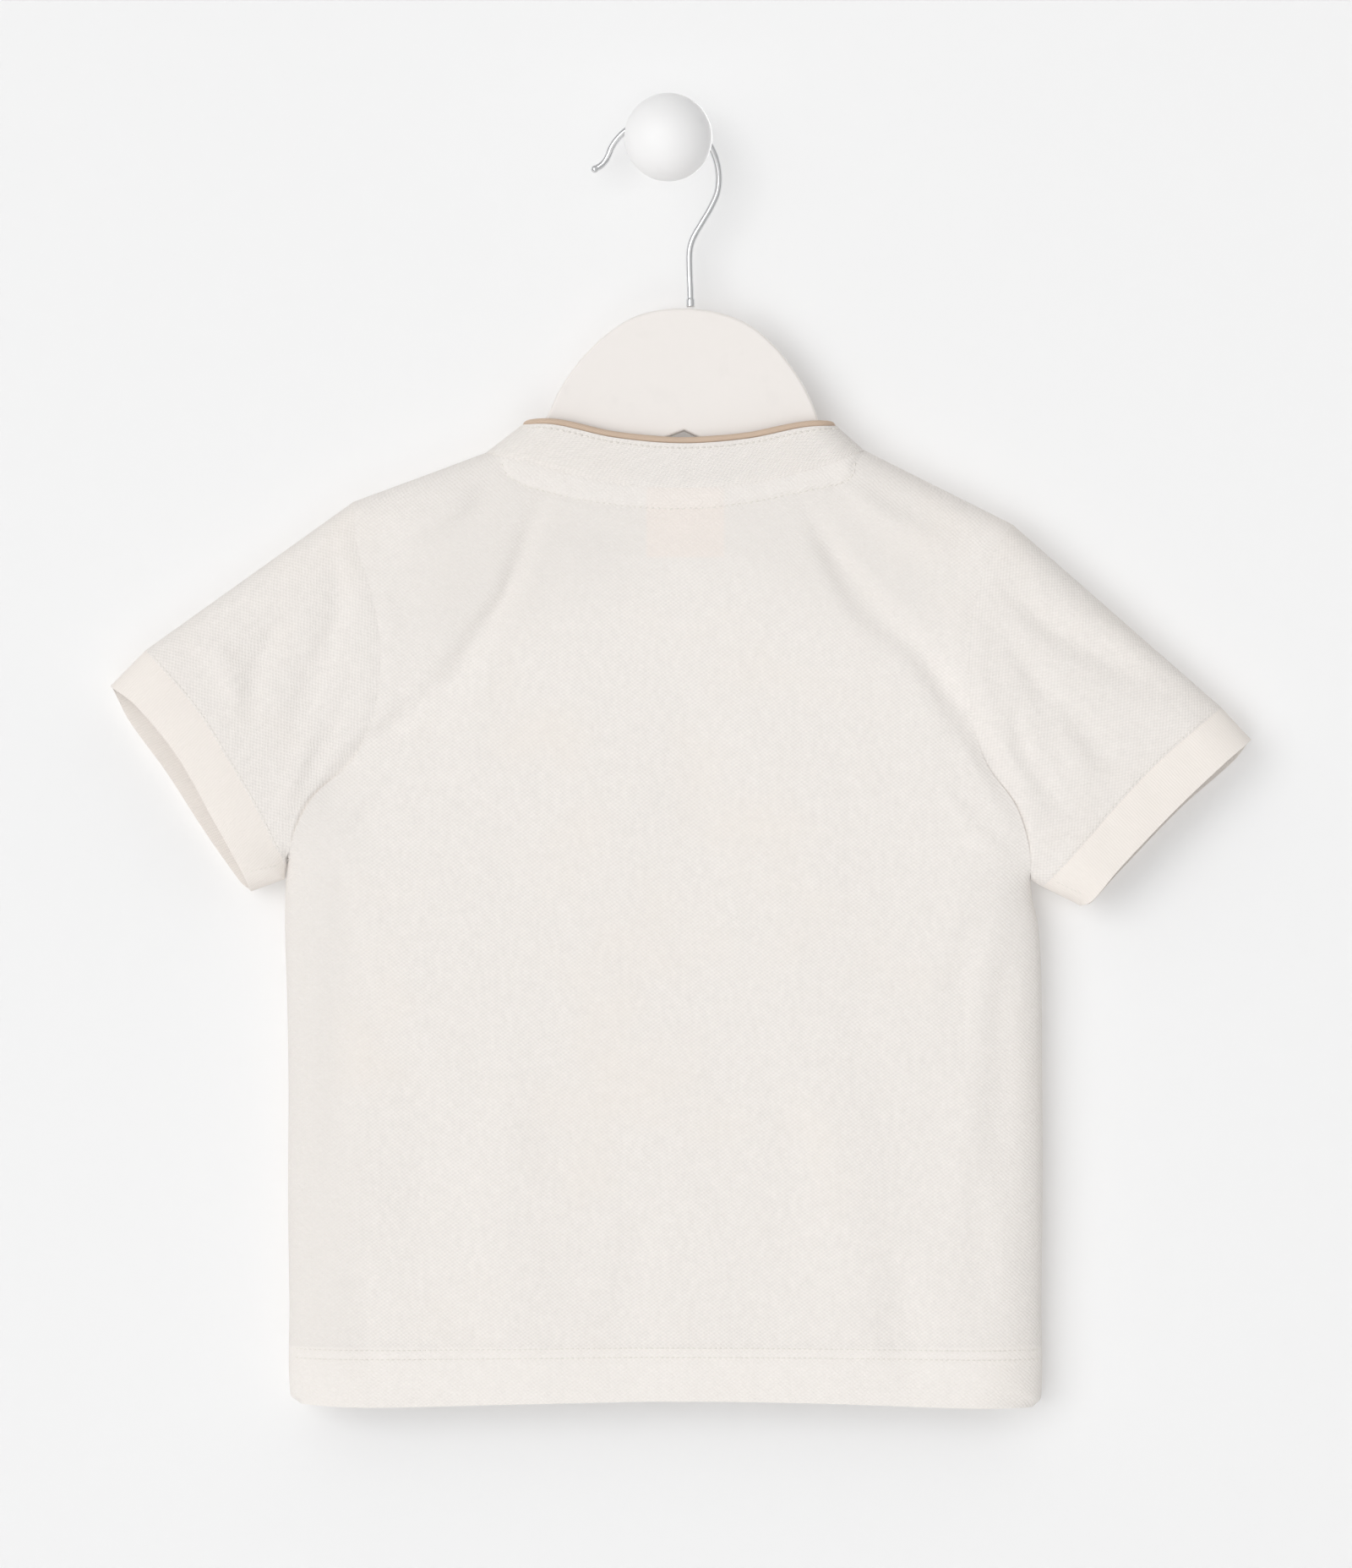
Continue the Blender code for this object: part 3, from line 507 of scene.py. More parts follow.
def half_depth(face, points):
    """The distance from the middle plane to the cloth's outer side."""
    creases = (BACK_CREASES if face == BACK else FRONT_CREASES) + SLEEVE_CREASES
    strength = bpy.context.scene.shirt_sizes.crease_strength
    depth = smooth(DEPTH_ROWS, points[..., 1], 1)
    crooked = points + points_of(wander(points, 26.0, 3.1 * face), wander(points, 26.0, 9.7 * face)) * 2.5
    depth = depth - strength * crease_depth(crooked, creases)
    broad, small = UNEVEN
    depth = depth + broad * wander(points, 34.0, 17.0 * face) + small * wander(points, 13.0, 23.0 * face) * 0.5
    for side in (-1, 1):
        depth = sewn(depth, points, ARMHOLES[side], *SEAM_RELIEFS["armhole"])
        depth = sewn(depth, points, CUFF_SEAMS[side], *SEAM_RELIEFS["cuff"])
        for line, sink in zip(UNDERARM_ENDS[side], UNDERARM_SINKS):
            depth = depth - sink * bump(nearest(points, *np.array(line))[1], UNDERARM_WIDTH)
    return sewn(depth, points, NECKLINES[face], *SEAM_RELIEFS["neck"]) * roundness(points)


def cloth_points(face, points, lift=0.0, least=0.0):
    """The places in space of plan points on the back or the front, moved out by a lift."""
    depths = np.maximum(half_depth(face, points), least) + lift
    return points_of(points[..., 0], MID_Y + face * depths, points[..., 1])


# Shading

KNIT_SHEEN = {"Sheen Weight": 0.12, "Sheen Roughness": 0.6, "Specular IOR Level": 0.25}


class Value:
    """A socket that carries a number; an expression on it adds Math nodes."""

    def __init__(self, surface, socket):
        self.surface, self.socket = surface, socket

    def math(self, operation, *inputs):
        made = self.surface.node("ShaderNodeMath", {"operation": operation}, dict(enumerate(inputs)))
        return Value(self.surface, made.outputs[0])

    def __add__(self, other):
        return self.math("ADD", self, other)

    __radd__ = __add__

    def __sub__(self, other):
        return self.math("SUBTRACT", self, other)

    def __rsub__(self, other):
        return self.math("SUBTRACT", other, self)

    def __mul__(self, other):
        return self.math("MULTIPLY", self, other)

    __rmul__ = __mul__

    def cosine(self):
        return self.math("COSINE", self)

    def size(self):
        return self.math("ABSOLUTE", self)

    def between(self, low, high):
        """0 where this is below low and 1 where it is above high."""
        made = self.surface.node(
            "ShaderNodeMapRange",
            {"interpolation_type": "SMOOTHSTEP"},
            {"Value": self, "From Min": low, "From Max": high},
        )
        return Value(self.surface, made.outputs["Result"])


class Surface:
    """A material, and the nodes behind its shader."""

    def __init__(self, name, colour, roughness, **constants):
        self.material = bpy.data.materials.new(name)
        self.material.use_nodes = True
        self.material.diffuse_color = (*colour, 1)
        self.tree = self.material.node_tree
        self.shader = self.tree.nodes["Principled BSDF"]
        self.colour = (*colour, 1)
        self.set(self.shader, {"Base Color": self.colour, "Roughness": roughness, **constants})

    def set(self, node, values):
        for name, value in values.items():
            socket = node.inputs[name]
            if isinstance(value, Value):
                value = value.socket
            if isinstance(value, bpy.types.NodeSocket):
                self.tree.links.new(value, socket)
            else:
                socket.default_value = value
        return node

    def node(self, kind, settings=None, values=None):
        """A node of this type, with its settings made before the values or links of its sockets."""
        made = self.tree.nodes.new(kind)
        for name, value in (settings or {}).items():
            setattr(made, name, value)
        return self.set(made, values or {})

    def parts(self, vector):
        split = self.node("ShaderNodeSeparateXYZ", values={"Vector": vector})
        return [Value(self, socket) for socket in split.outputs]

    def grain(self):
        """The cloth's own coordinates in millimetres: across it and along it."""
        made = self.node("ShaderNodeUVMap", {"uv_map": "grain"})
        return made.outputs["UV"]

    def mark(self, name):
        """A number stored at the cloth's corners."""
        return Value(self, self.node("ShaderNodeAttribute", {"attribute_name": name}).outputs["Fac"])

    def space(self):
        """The object's coordinates, in metres."""
        return self.node("ShaderNodeTexCoord").outputs["Object"]

    def noise(self, vector, scale, detail=2.0, stretch=(1, 1, 1)):
        """Noise from 0 to 1, this many cells to a unit, stretched along an axis where its share is below 1."""
        spread = self.node(
            "ShaderNodeVectorMath", {"operation": "MULTIPLY"}, {0: vector, 1: [scale * share for share in stretch]}
        )
        made = self.node("ShaderNodeTexNoise", values={"Vector": spread.outputs[0], "Scale": 1.0, "Detail": detail})
        return Value(self, made.outputs["Fac"])

    def mixed(self, factor, first, second):
        """A colour between two colours."""
        made = self.node("ShaderNodeMix", {"data_type": "RGBA"}, {0: factor, 6: first, 7: second})
        return made.outputs[2]

    def toned(self, shade, dark, light):
        """The material's own colour, from a dark tone of it to a light one."""
        return self.mixed(shade, tone(self.colour, dark), tone(self.colour, light))

    def finished(self, colour, roughness, height, depth, strength=1.0, **more):
        """The material, with a relief this many millimetres deep."""
        bump = self.node("ShaderNodeBump", values={"Strength": strength, "Distance": depth * MM, "Height": height})
        values = {"Base Color": colour, "Roughness": roughness, "Normal": bump.outputs["Normal"]}
        self.set(self.shader, values | more)
        return self.material

    def wave(self, value, pitch):
        """A wave from 0 to 1 with this length."""
        return (value * (2 * math.pi / pitch)).cosine() * 0.5 + 0.5


class Room(Surface):
    """The nodes behind the light from all round."""

    def __init__(self, world):
        self.tree = world.node_tree


def tone(colour, share):
    """A colour made lighter or darker by a share."""
    return (*(min(part * share, 1.0) for part in colour[:3]), 1)


def knit_surface(name, colour, across, along, tooth, slant=-0.035, backed_and_shaded=False):
    """Cotton knit whose raised cells repeat at these lengths in millimetres, with loose fibres and uneven yarn.

    Where backing is asked for, it shows the tape and the label that lie behind it, with painted shade over the hanger
    behind it and along its sides.
    """
    surface = Surface(name, colour, 0.92, **KNIT_SHEEN)
    grain = surface.grain()
    x, z, _ = surface.parts(grain)
    drift = surface.noise(grain, 0.22, 1.0) * 1.1
    columns = ((x + z * slant + drift) * (2 * math.pi / across)).cosine()
    courses = ((z + x * 0.05 + drift * 0.7) * (2 * math.pi / along)).cosine()
    cells = columns * courses * 0.5 + 0.5
    fibres = surface.noise(grain, 2.6, 2.0)
    yarn = surface.noise(grain, 0.42, 2.0, (1.0, 0.5, 1))
    broad = surface.noise(surface.space(), 24.0, 2.0)
    height = cells * 0.75 + fibres * 0.2 + yarn * 0.2
    # Painted shade: the colour is darker in the pits between the raised cells; the fibres and the yarn add the knit's
    # own uneven tone
    shade = cells * 0.55 + fibres * 0.45 + yarn * 0.6 - 0.295
    warm = (colour[0], colour[1] * 0.975, colour[2] * 0.945, 1)
    shown = surface.mixed(broad.between(0.45, 0.9) * 0.6, surface.toned(shade, 0.895, 1.065), warm)
    x, _, z = surface.parts(surface.space())
    x, z = x * 1000, z * 1000
    doubled = 1 - z.between(*HEM_TOP)
    if backed_and_shaded:
        # Painted shade over the hanger board behind the back, following the slope of its arms
        drop = (x - HANGER_TOP[0]).size() * ARM_SLOPE
        painted_hanger_shade = (z + drop).between(*HANGER_SHADE_HEIGHTS) * (1 - x.size().between(*HANGER_SHADE_WIDTHS))
        # Painted shade along both sides of the back, and again on its left side
        sides = x.size().between(*SIDE_SHADE) + (x * -1).between(*SIDE_SHADE)
        shown = surface.mixed((painted_hanger_shade * 0.75 + sides * 0.45).between(0.0, 1.0), shown, tone(colour, 0.93))
        doubled = doubled + surface.mark("tape_above").between(-0.4, 0.4) * 0.8
        label = x.between(*LABEL_LEFT) * (1 - x.between(*LABEL_RIGHT)) * z.between(*LABEL_LOW)
        shown = surface.mixed(label * (1 - z.between(*LABEL_TOP)) * 0.42, shown, LABEL_GLOW)
    shown = surface.mixed(doubled * 0.4, shown, tone(colour, 1.045))
    return surface.finished(shown, 0.97 - cells * 0.08, height, tooth)


def rib_surface(name, colour, pitch, tooth):
    """A smoother knit of fine ribs that run along the cloth."""
    surface = Surface(name, colour, 0.9, **KNIT_SHEEN)
    grain = surface.grain()
    x, z, _ = surface.parts(grain)
    ribs = surface.wave(x + surface.noise(grain, 0.3, 1.0) * 0.5, pitch)
    loops = (z * (2 * math.pi / (pitch * 0.72)) + ribs * 1.6).cosine() * 0.5 + 0.5
    fibres = surface.noise(grain, 3.0, 3.0)
    height = ribs * 0.7 + loops * 0.2 + fibres * 0.2
    # Painted shade: the colour is darker in the grooves between the ribs; the fibres are the yarn's own uneven tone
    shade = ribs * 0.6 + fibres * 0.4
    return surface.finished(surface.toned(shade, 0.965, 1.02), 0.95 - ribs * 0.07, height, tooth)


def binding_surface(name, colour):
    """A narrow woven binding: twill lines that run slantwise round the cord."""
    surface = Surface(name, colour, 0.8, **{"Sheen Weight": 0.15, "Specular IOR Level": 0.3})
    grain = surface.grain()
    x, z, _ = surface.parts(grain)
    twill = surface.wave(x + z * 0.9, 0.85)
    fibres = surface.noise(grain, 4.0, 3.0)
    # Painted shade: the colour is darker in the grooves of the twill lines; the fibres are the yarn's own uneven tone
    shade = (twill * 0.6 + fibres * 0.5).between(0.2, 0.9)
    height = twill * 0.7 + fibres * 0.5
    return surface.finished(surface.toned(shade, 0.86, 1.05), 0.88 - twill * 0.12, height, 0.14)


def thread_surface(name, colour):
    """Sewing thread with the twist of its plies."""
    surface = Surface(name, colour, 0.7, **{"Sheen Weight": 0.2, "Specular IOR Level": 0.35})
    x, y, z = surface.parts(surface.space())
    twist = surface.wave(x + z * 0.8 + y * 0.6, 0.00045)
    # Painted shade: the colour is darker in the grooves between the plies
    return surface.finished(surface.toned(twist, 0.9, 1.02), 0.78 - twist * 0.12, twist, 0.05)


def painted_surface(name, colour, roughness, tooth, cell):
    """Sprayed paint: a faint orange peel, and slightly duller, darker specks of dust."""
    surface = Surface(name, colour, roughness, **{"Specular IOR Level": 0.45})
    space = surface.space()
    peel = surface.noise(space, 1000 / cell, 2.0)
    dust = surface.noise(space, 120.0, 4.0).between(0.55, 0.8)
    handled = surface.noise(space, 30.0, 2.0)
    dulled = handled * 0.16 + (roughness - 0.08) + dust * 0.06
    return surface.finished(surface.toned(dust, 1.0, 0.975), dulled, peel, tooth)


def chrome_surface(name, colour):
    """Bright plated wire with faint drawing marks and a few dull spots."""
    surface = Surface(name, colour, 0.14, Metallic=1.0)
    space = surface.space()
    marks = surface.noise(space, 2500.0, 3.0, (1.0, 1.0, 0.2))
    spots = surface.noise(space, 180.0, 4.0).between(0.58, 0.75)
    dulled = marks * 0.1 + 0.08 + spots * 0.18
    return surface.finished(surface.toned(spots, 1.0, 0.88), dulled, marks, 0.01, 0.5)


def button_surface(name, colour):
    """Moulded button plastic with soft pearly clouds."""
    surface = Surface(name, colour, 0.3, **{"Coat Roughness": 0.12})
    clouds = surface.noise(surface.space(), 380.0, 3.0)
    shade = clouds.between(0.3, 0.75)
    coat = {"Coat Weight": shade * 0.5}
    return surface.finished(surface.toned(shade, 0.92, 1.04), 0.42 - clouds * 0.15, clouds, 0.02, 0.6, **coat)


# Settings that a user would change


def colour_setting(name, description, default):
    return bpy.props.FloatVectorProperty(
        name=name, description=description, default=default, size=3, min=0.0, max=1.0, subtype="COLOR"
    )


def number_setting(name, description, default, **kind):
    return bpy.props.FloatProperty(name=name, description=description, default=default, **{"min": 0.0, **kind})


def length_setting(name, description, millimetres):
    kind = {"precision": 5, "subtype": "DISTANCE", "unit": "LENGTH"}
    return number_setting(name, description, millimetres * MM, **kind)


class ShirtSizes(bpy.types.PropertyGroup):
    cloth_thickness: length_setting("Cloth thickness", "Wall of the knit", 1.1)
    collar_thickness: length_setting("Collar thickness", "Wall of the doubled collar", 1.5)
    cell_across: length_setting("Knit cell across", "Width of one raised cell of the knit", 1.88)
    cell_along: length_setting("Knit cell along", "Height of one raised cell of the knit", 1.43)
    knit_relief: length_setting("Knit relief", "How far the knit's cells stand up", 0.22)
    crease_strength: number_setting(
        "Creases", "Depth of the creases, as a share of the hanging shirt's", 1.0, max=1.5, subtype="FACTOR"
    )
    stitch_length: length_setting("Stitch length", "From one stitch to the next", 2.3)
    thread_radius: length_setting("Thread radius", "Half the sewing thread's thickness", 0.27)
    piping_radius: length_setting("Piping radius", "Half the thickness of the collar's piping", 1.2)
    button_radius: length_setting("Button radius", "Half the button's width", 4.6)
    wire_radius: length_setting("Wire radius", "Half the thickness of the hook's wire", 1.25)
    board_thickness: length_setting("Board thickness", "Thickness of the hanger board", 10.0)
    ball_radius: length_setting("Knob radius", "Half the width of the wall knob's ball", 16.15)


class ShirtColours(bpy.types.PropertyGroup):
    cloth: colour_setting("Cloth", "Knit of the body, the sleeves and the collar", (0.886, 0.844, 0.805))
    cuff: colour_setting("Cuffs", "Fine rib of the cuffs", (0.890, 0.834, 0.783))
    tape: colour_setting("Tape and label", "Woven strip and label inside the neck", (0.850, 0.790, 0.740))
    piping: colour_setting("Piping", "Binding along the collar's edge", (0.670, 0.515, 0.395))
    thread: colour_setting("Thread", "Sewing thread", (0.880, 0.845, 0.790))
    button: colour_setting("Buttons", "Buttons of the placket", (0.800, 0.740, 0.640))
    board: colour_setting("Hanger", "Paint of the hanger board", (0.843, 0.803, 0.770))
    wire: colour_setting("Hook", "Plating of the hook", (0.720, 0.725, 0.735))
    knob: colour_setting("Knob", "Paint of the wall knob", (0.895, 0.890, 0.888))


class StageSettings(bpy.types.PropertyGroup):
    wall: colour_setting("Wall and floor", "Paint behind and below the shirt", (0.890, 0.890, 0.890))
    key_strength: number_setting("Key light", "Strength of the soft light at the left", 1.28)
    key_softness: number_setting("Key softness", "How wide the key light looks", math.radians(50), subtype="ANGLE")
    front_power: number_setting(
        "Front light", "Power of the soft light on the side that faces the wall", 21.0, unit="POWER"
    )
    fill_power: number_setting("Low light", "Power of the soft light below the camera", 4.3, unit="POWER")
    air: number_setting("Room light", "Strength of the light from all round", 0.635)
    lens: number_setting("Lens", "Focal length", 148.57, min=1.0, unit="CAMERA")


# Meshes


def placed(name, data):
    """An object with this data, in the scene."""
    obj = bpy.data.objects.new(name, data)
    bpy.context.scene.collection.objects.link(obj)
    return obj


def edited(mesh, *steps):
    """Runs steps that each work on a bmesh over a mesh."""
    bm = bmesh.new()
    bm.from_mesh(mesh)
    for step in steps:
        step(bm)
    bm.to_mesh(mesh)
    bm.free()


def faced_outward(bm):
    bmesh.ops.recalc_face_normals(bm, faces=bm.faces)


def merged(bm):
    bmesh.ops.remove_doubles(bm, verts=bm.verts, dist=1e-6)


def ends_filled(bm):
    bmesh.ops.holes_fill(bm, edges=[edge for edge in bm.edges if edge.is_boundary], sides=0)


def loose_corners_gone(bm):
    bmesh.ops.delete(bm, geom=[vertex for vertex in bm.verts if not vertex.link_faces], context="VERTS")


def turned_mesh(name, profile, steps):
    """A mesh turned round the Y axis from a profile of radii and places along it, in millimetres."""

    def spun(bm):
        corners = [bm.verts.new((radius * MM, y * MM, 0)) for radius, y in profile]
        line = corners + [bm.edges.new(pair) for pair in zip(corners, corners[1:])]
        turn = {"cent": (0, 0, 0), "axis": (0, 1, 0), "angle": 2 * math.pi}
        bmesh.ops.spin(bm, geom=line, steps=steps, use_merge=True, **turn)

    mesh = bpy.data.meshes.new(name)
    edited(mesh, spun, merged, faced_outward)
    return mesh


def mesh_object(name, corners, faces, surface, grain=None, smooth_shaded=True):
    """An object from places in millimetres, with the cloth's coordinates at its face corners."""
    mesh = bpy.data.meshes.new(name)
    mesh.from_pydata((np.asarray(corners) * MM).tolist(), [], faces)
    if grain is not None:
        mesh.uv_layers.new(name="grain").uv.foreach_set("vector", np.asarray(grain, np.float32).ravel())
    mesh.materials.append(surface)
    if smooth_shaded:
        mesh.shade_smooth()
    return placed(name, mesh)


def grid_faces(columns, rows, wrap=False):
    """The faces of a grid numbered column by column, and each face's column and row."""
    i, j = np.meshgrid(np.arange(columns if wrap else columns - 1), np.arange(rows - 1), indexing="ij")
    i, j = i.ravel(), j.ravel()
    following = (i + 1) % columns
    return np.stack((i * rows + j, following * rows + j, following * rows + j + 1, i * rows + j + 1), -1), i, j


def travelled(places, axis=0):
    """How far each place of a grid lies along its row or column, from the first."""
    steps = length(np.diff(places, axis=axis))
    return np.concatenate((np.zeros_like(np.take(steps, [0], axis)), np.cumsum(steps, axis)), axis)


def along_band(places):
    """Coordinates round a band and across it."""
    return np.stack((travelled(places, 0), travelled(places, 1)), -1)


def opened_out(places):
    """The plan coordinates of a grid's places, opened out along its columns where the cloth turns away."""
    points = places[..., ::2]
    extra = travelled(places, 0) - travelled(points, 0)
    return points + unit(np.gradient(points, axis=0)) * (extra - extra[len(extra) // 2])[..., None]


def cloth_wall(name, places, surface, thick, turn=0.0, kept=None, wrap=False, marks=None, laid=opened_out):
    """A wall whose outer side runs through a grid of places; its grain is turned by an angle."""
    columns, rows = places.shape[:2]
    parts = [places]
    if wrap:
        fold = columns // 2
        parts = [places[: fold + 1], np.concatenate((places[fold:], places[:1]))]
    quads = []
    for part in parts:
        x, z = np.moveaxis(laid(part), -1, 0)
        grain = np.stack((x * math.cos(turn) - z * math.sin(turn), x * math.sin(turn) + z * math.cos(turn)), -1)
        quads.append(np.stack((grain[:-1, :-1], grain[1:, :-1], grain[1:, 1:], grain[:-1, 1:]), 2))
    quads = np.concatenate(quads)
    faces, i, j = grid_faces(columns, rows, wrap)
    if kept is not None:
        chosen = kept[i, j]
        faces, i, j = faces[chosen], i[chosen], j[chosen]
    corners = quads[i, j]
    flat = places.reshape(-1, 3)
    first, second = flat[faces[:, 1]] - flat[faces[:, 0]], flat[faces[:, 3]] - flat[faces[:, 0]]
    outward = flat[faces[:, 0]] - np.array((0.0, MID_Y, 0.0))
    if (np.cross(first, second)[:, 1] * outward[:, 1]).sum() < 0:
        faces, corners = faces[:, ::-1], corners[:, ::-1]
    obj = mesh_object(name, flat, faces.tolist(), surface, corners)
    for mark, values in (marks or {}).items():
        stored = obj.data.attributes.new(mark, "FLOAT", "POINT")
        stored.data.foreach_set("value", np.asarray(values, np.float32).ravel())
    wall = obj.modifiers.new("Wall", "SOLIDIFY")
    wall.thickness, wall.offset = thick, -1
    apply_modifiers(obj)
    obj.data.set_sharp_from_angle(angle=math.radians(50))
    return obj


def apply_modifiers(obj):
    """Makes the object's evaluated shape its own mesh, without loose corners."""
    graph = bpy.context.evaluated_depsgraph_get()
    mesh = bpy.data.meshes.new_from_object(obj.evaluated_get(graph))
    obj.modifiers.clear()
    obj.data = mesh
    edited(mesh, loose_corners_gone)


def tube(name, path, radii, surface, sides):
    """A round bar along a path, with its own radius at each point and its grain round and along it."""
    path = np.asarray(path, float)
    ways = unit(np.gradient(path, axis=0))
    normals = [unit(np.cross(ways[0], (0.0, 1.0, 0.01)))]
    for way in ways[1:]:
        normals.append(unit(normals[-1] - way * (normals[-1] @ way)))
    normals = np.array(normals)
    others = np.cross(ways, normals)
    angles = np.linspace(0, 2 * math.pi, sides, endpoint=False)[:, None, None]
    ring = (np.cos(angles) * normals + np.sin(angles) * others) * np.asarray(radii)[:, None]
    rows = len(path)
    faces, i, j = grid_faces(sides, rows, wrap=True)
    along = travelled(path)
    around = 2 * math.pi * float(np.median(radii)) / sides
    ends = ((0, 0), (1, 0), (1, 1), (0, 1))
    grain = np.stack([np.stack(((i + right) * around, along[j + up]), -1) for right, up in ends], 1)
    obj = mesh_object(name, (path + ring).reshape(-1, 3), faces.tolist(), surface, grain)
    edited(obj.data, ends_filled, faced_outward)
    return obj


def resampled(points, pitch):
    """Places along a line in space at even steps, and the step."""
    gone = travelled(points)
    count = max(int(round(gone[-1] / pitch)), 1)
    at = (np.arange(count) + 0.5) * gone[-1] / count
    return np.stack([np.interp(at, gone, column) for column in points.T], -1), gone[-1] / count


def stitch_row(points, normal_face, pitch, radius, share=0.74):
    """Corners and faces of short threads, sunk at their ends, along a line on the cloth."""
    middles, step = resampled(points, pitch)
    ways = unit(np.gradient(middles, axis=0)) if len(middles) > 1 else unit(points[-1:] - points[:1])
    out = unit(np.cross(ways, np.cross(np.array((0.0, normal_face, 0.0)), ways)))
    side, sides = np.cross(out, ways), 6
    angles = np.linspace(0, 2 * math.pi, sides, endpoint=False)
    turns = [(k, (k + 1) % sides) for k in range(sides)]
    corners, faces = [], []
    rings = ((-0.5, 0.35, -1.0), (-0.38, 0.9, 0.1), (0.0, 1.0, 0.6), (0.38, 0.9, 0.1), (0.5, 0.35, -1.0))
    for middle, way, up, across in zip(middles, ways, out, side):
        start = len(corners)
        for at, width, rise in rings:
            centre = middle + way * at * step * share + up * radius * rise
            corners += [centre + (across * math.cos(a) + up * math.sin(a)) * radius * width for a in angles]
        last = len(corners) - sides
        for low in range(start, last, sides):
            faces += [(low + k, low + after, low + sides + after, low + sides + k) for k, after in turns]
        faces.append(tuple(start + k for k in reversed(range(sides))))
        faces.append(tuple(last + k for k in range(sides)))
    return corners, faces


def stitches(name, rows, surface, share=1.0):
    """One object for all the threads of several rows; a row is a line in space and the way it faces."""
    sizes = bpy.context.scene.shirt_sizes
    pitch, radius = sizes.stitch_length / MM * (0.5 + 0.5 * share), sizes.thread_radius / MM * share
    corners, faces = [], []
    for points, normal_face in rows:
        more, sides = stitch_row(points, normal_face, pitch, radius)
        faces += [tuple(len(corners) + k for k in side) for side in sides]
        corners += more
    obj = mesh_object(name, corners, faces, surface)
    edited(obj.data, faced_outward)
    return obj


def finish_piece(obj, slot, *nodes):
    """The piece rides on the shirt's one body and stands for its CAD nodes."""
    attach(obj, "root")
    if nodes:
        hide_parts(*nodes)
    return obj


# Cloth grids


def even(low, high, step):
    """Places from low up to, but without, high, at most this far apart."""
    return np.linspace(low, high, max(int(math.ceil((high - low) / step)), 1), endpoint=False)


def closing_in(reach, count):
    """Places from 0 up to, but without, a reach, nearer together towards 0, where the cloth rounds over."""
    return reach * (1 - np.cos(np.linspace(0, math.pi / 2, count, endpoint=False)))


def panel_columns(step):
    stops = (EDGE_SHARE, NECK_LEFT, SLIT_LEFT, SLIT_RIGHT, NECK_RIGHT, 1 - EDGE_SHARE)
    edge = closing_in(EDGE_SHARE, 13)
    middle = [even(low, high, step / PANEL_WIDTH) for low, high in zip(stops, stops[1:])]
    return np.concatenate([edge, *middle, [1 - EDGE_SHARE], (1 - edge)[::-1]])


def panel_rows(step, fine):
    """Places up a panel: closer in the hem and at the top, where there are seams."""
    stops = (HEM_SHARE, ARMPIT, SLIT_END, TOP_SHARE)
    parts = [even(0, HEM_SHARE, fine / PANEL_HEIGHT)]
    parts += [even(low, high, step / PANEL_HEIGHT) for low, high in zip(stops, stops[1:])]
    top = 1 - closing_in(1 - TOP_SHARE, int(20 / fine))[::-1]
    return np.concatenate([*parts, [TOP_SHARE], top])


def loop_places(shares):
    """Round a sleeve from its top fold: faces and shares down its back, then up its front."""
    faces = np.concatenate((np.full(len(shares), BACK), np.full(len(shares) - 2, FRONT)))
    return faces, np.concatenate((shares, shares[-2:0:-1]))


def seam_shares(reach, count, step):
    """Places from 0 to 1, nearer together at both ends."""
    edge = closing_in(reach, count)
    return np.concatenate((edge, even(reach, 1 - reach, step), [1 - reach], (1 - edge)[::-1]))


def both_faces(faces, back, front):
    """Rows of the back's points where a face is the back, and of the front's elsewhere."""
    return np.where((faces == BACK)[:, None], back, front)


def band_places(faces, starts, ends, rows, gap, lift=0.0):
    """Places of a band between two edges, for cloth_wall."""
    starts = starts + unit(ends - starts) * gap
    share = np.linspace(0, 1, rows)
    grid = starts[:, None] + (ends - starts)[:, None] * share[None, :, None]
    places = np.empty((*grid.shape[:2], 3))
    for face in (BACK, FRONT):
        chosen = faces == face
        points = grid[chosen]
        depth_lift = (lift[chosen] if np.shape(lift)[:1] == (len(faces),) else lift) * roundness(points)
        places[chosen] = cloth_points(face, points, depth_lift)
    return places


def hem_relief(points):
    """The doubled hem stands a little proud, and sinks in along its twin rows of stitches."""
    heights = points[..., 1] - HEM_LINE
    upper, lower = HEM_STITCHES
    puckers = np.sin(points[..., 0] / 1.15) * bump(heights - (upper + lower) / 2, 2.6) * 0.07
    doubled = 0.4 * (1 - eased(heights, upper + 0.4, upper + 2.0)) + puckers
    return doubled - 0.28 * bump(heights - upper, 0.8) - 0.28 * bump(heights - lower, 0.8)


def above_tape_row(points):
    """How far points lie on the neckline's side of the row of stitches that holds the tape."""
    distances, _ = near_line(points, TAPE_STITCHES)
    row = np.interp(points[..., 0], TAPE_STITCHES[:, 0], TAPE_STITCHES[:, 1], left=0, right=0)
    return np.where(points[..., 1] > row, distances, -distances)


def tape_relief(points):
    """The neck tape behind the back lifts it, down to the row of stitches that holds it."""
    distances, along = near_line(points, TAPE_STITCHES)
    inside = eased(above_tape_row(points), -0.6, 1.2)
    pucker = np.sin(along / 1.3 + np.sin(along / 7.0)) * bump(distances - 1.2, 2.0) * 0.08
    return 0.3 * inside - 0.55 * bump(distances, 0.8) + pucker


# A share below 1 makes a darker copy of the same knit, as painted shade
def cloth_surface(name="knit_cloth", slant=-0.035, backed_and_shaded=False, share=1.0):
    sizes, colours = bpy.context.scene.shirt_sizes, bpy.context.scene.shirt_colours
    cell, relief = (sizes.cell_across / MM, sizes.cell_along / MM), sizes.knit_relief / MM
    return made_once(name, knit_surface, tone(colours.cloth, share)[:3], *cell, relief, slant, backed_and_shaded)


def made_once(name, maker, *numbers):
    """The material of this name, made the first time that it is asked for."""
    return bpy.data.materials.get(name) or maker(name, *numbers)


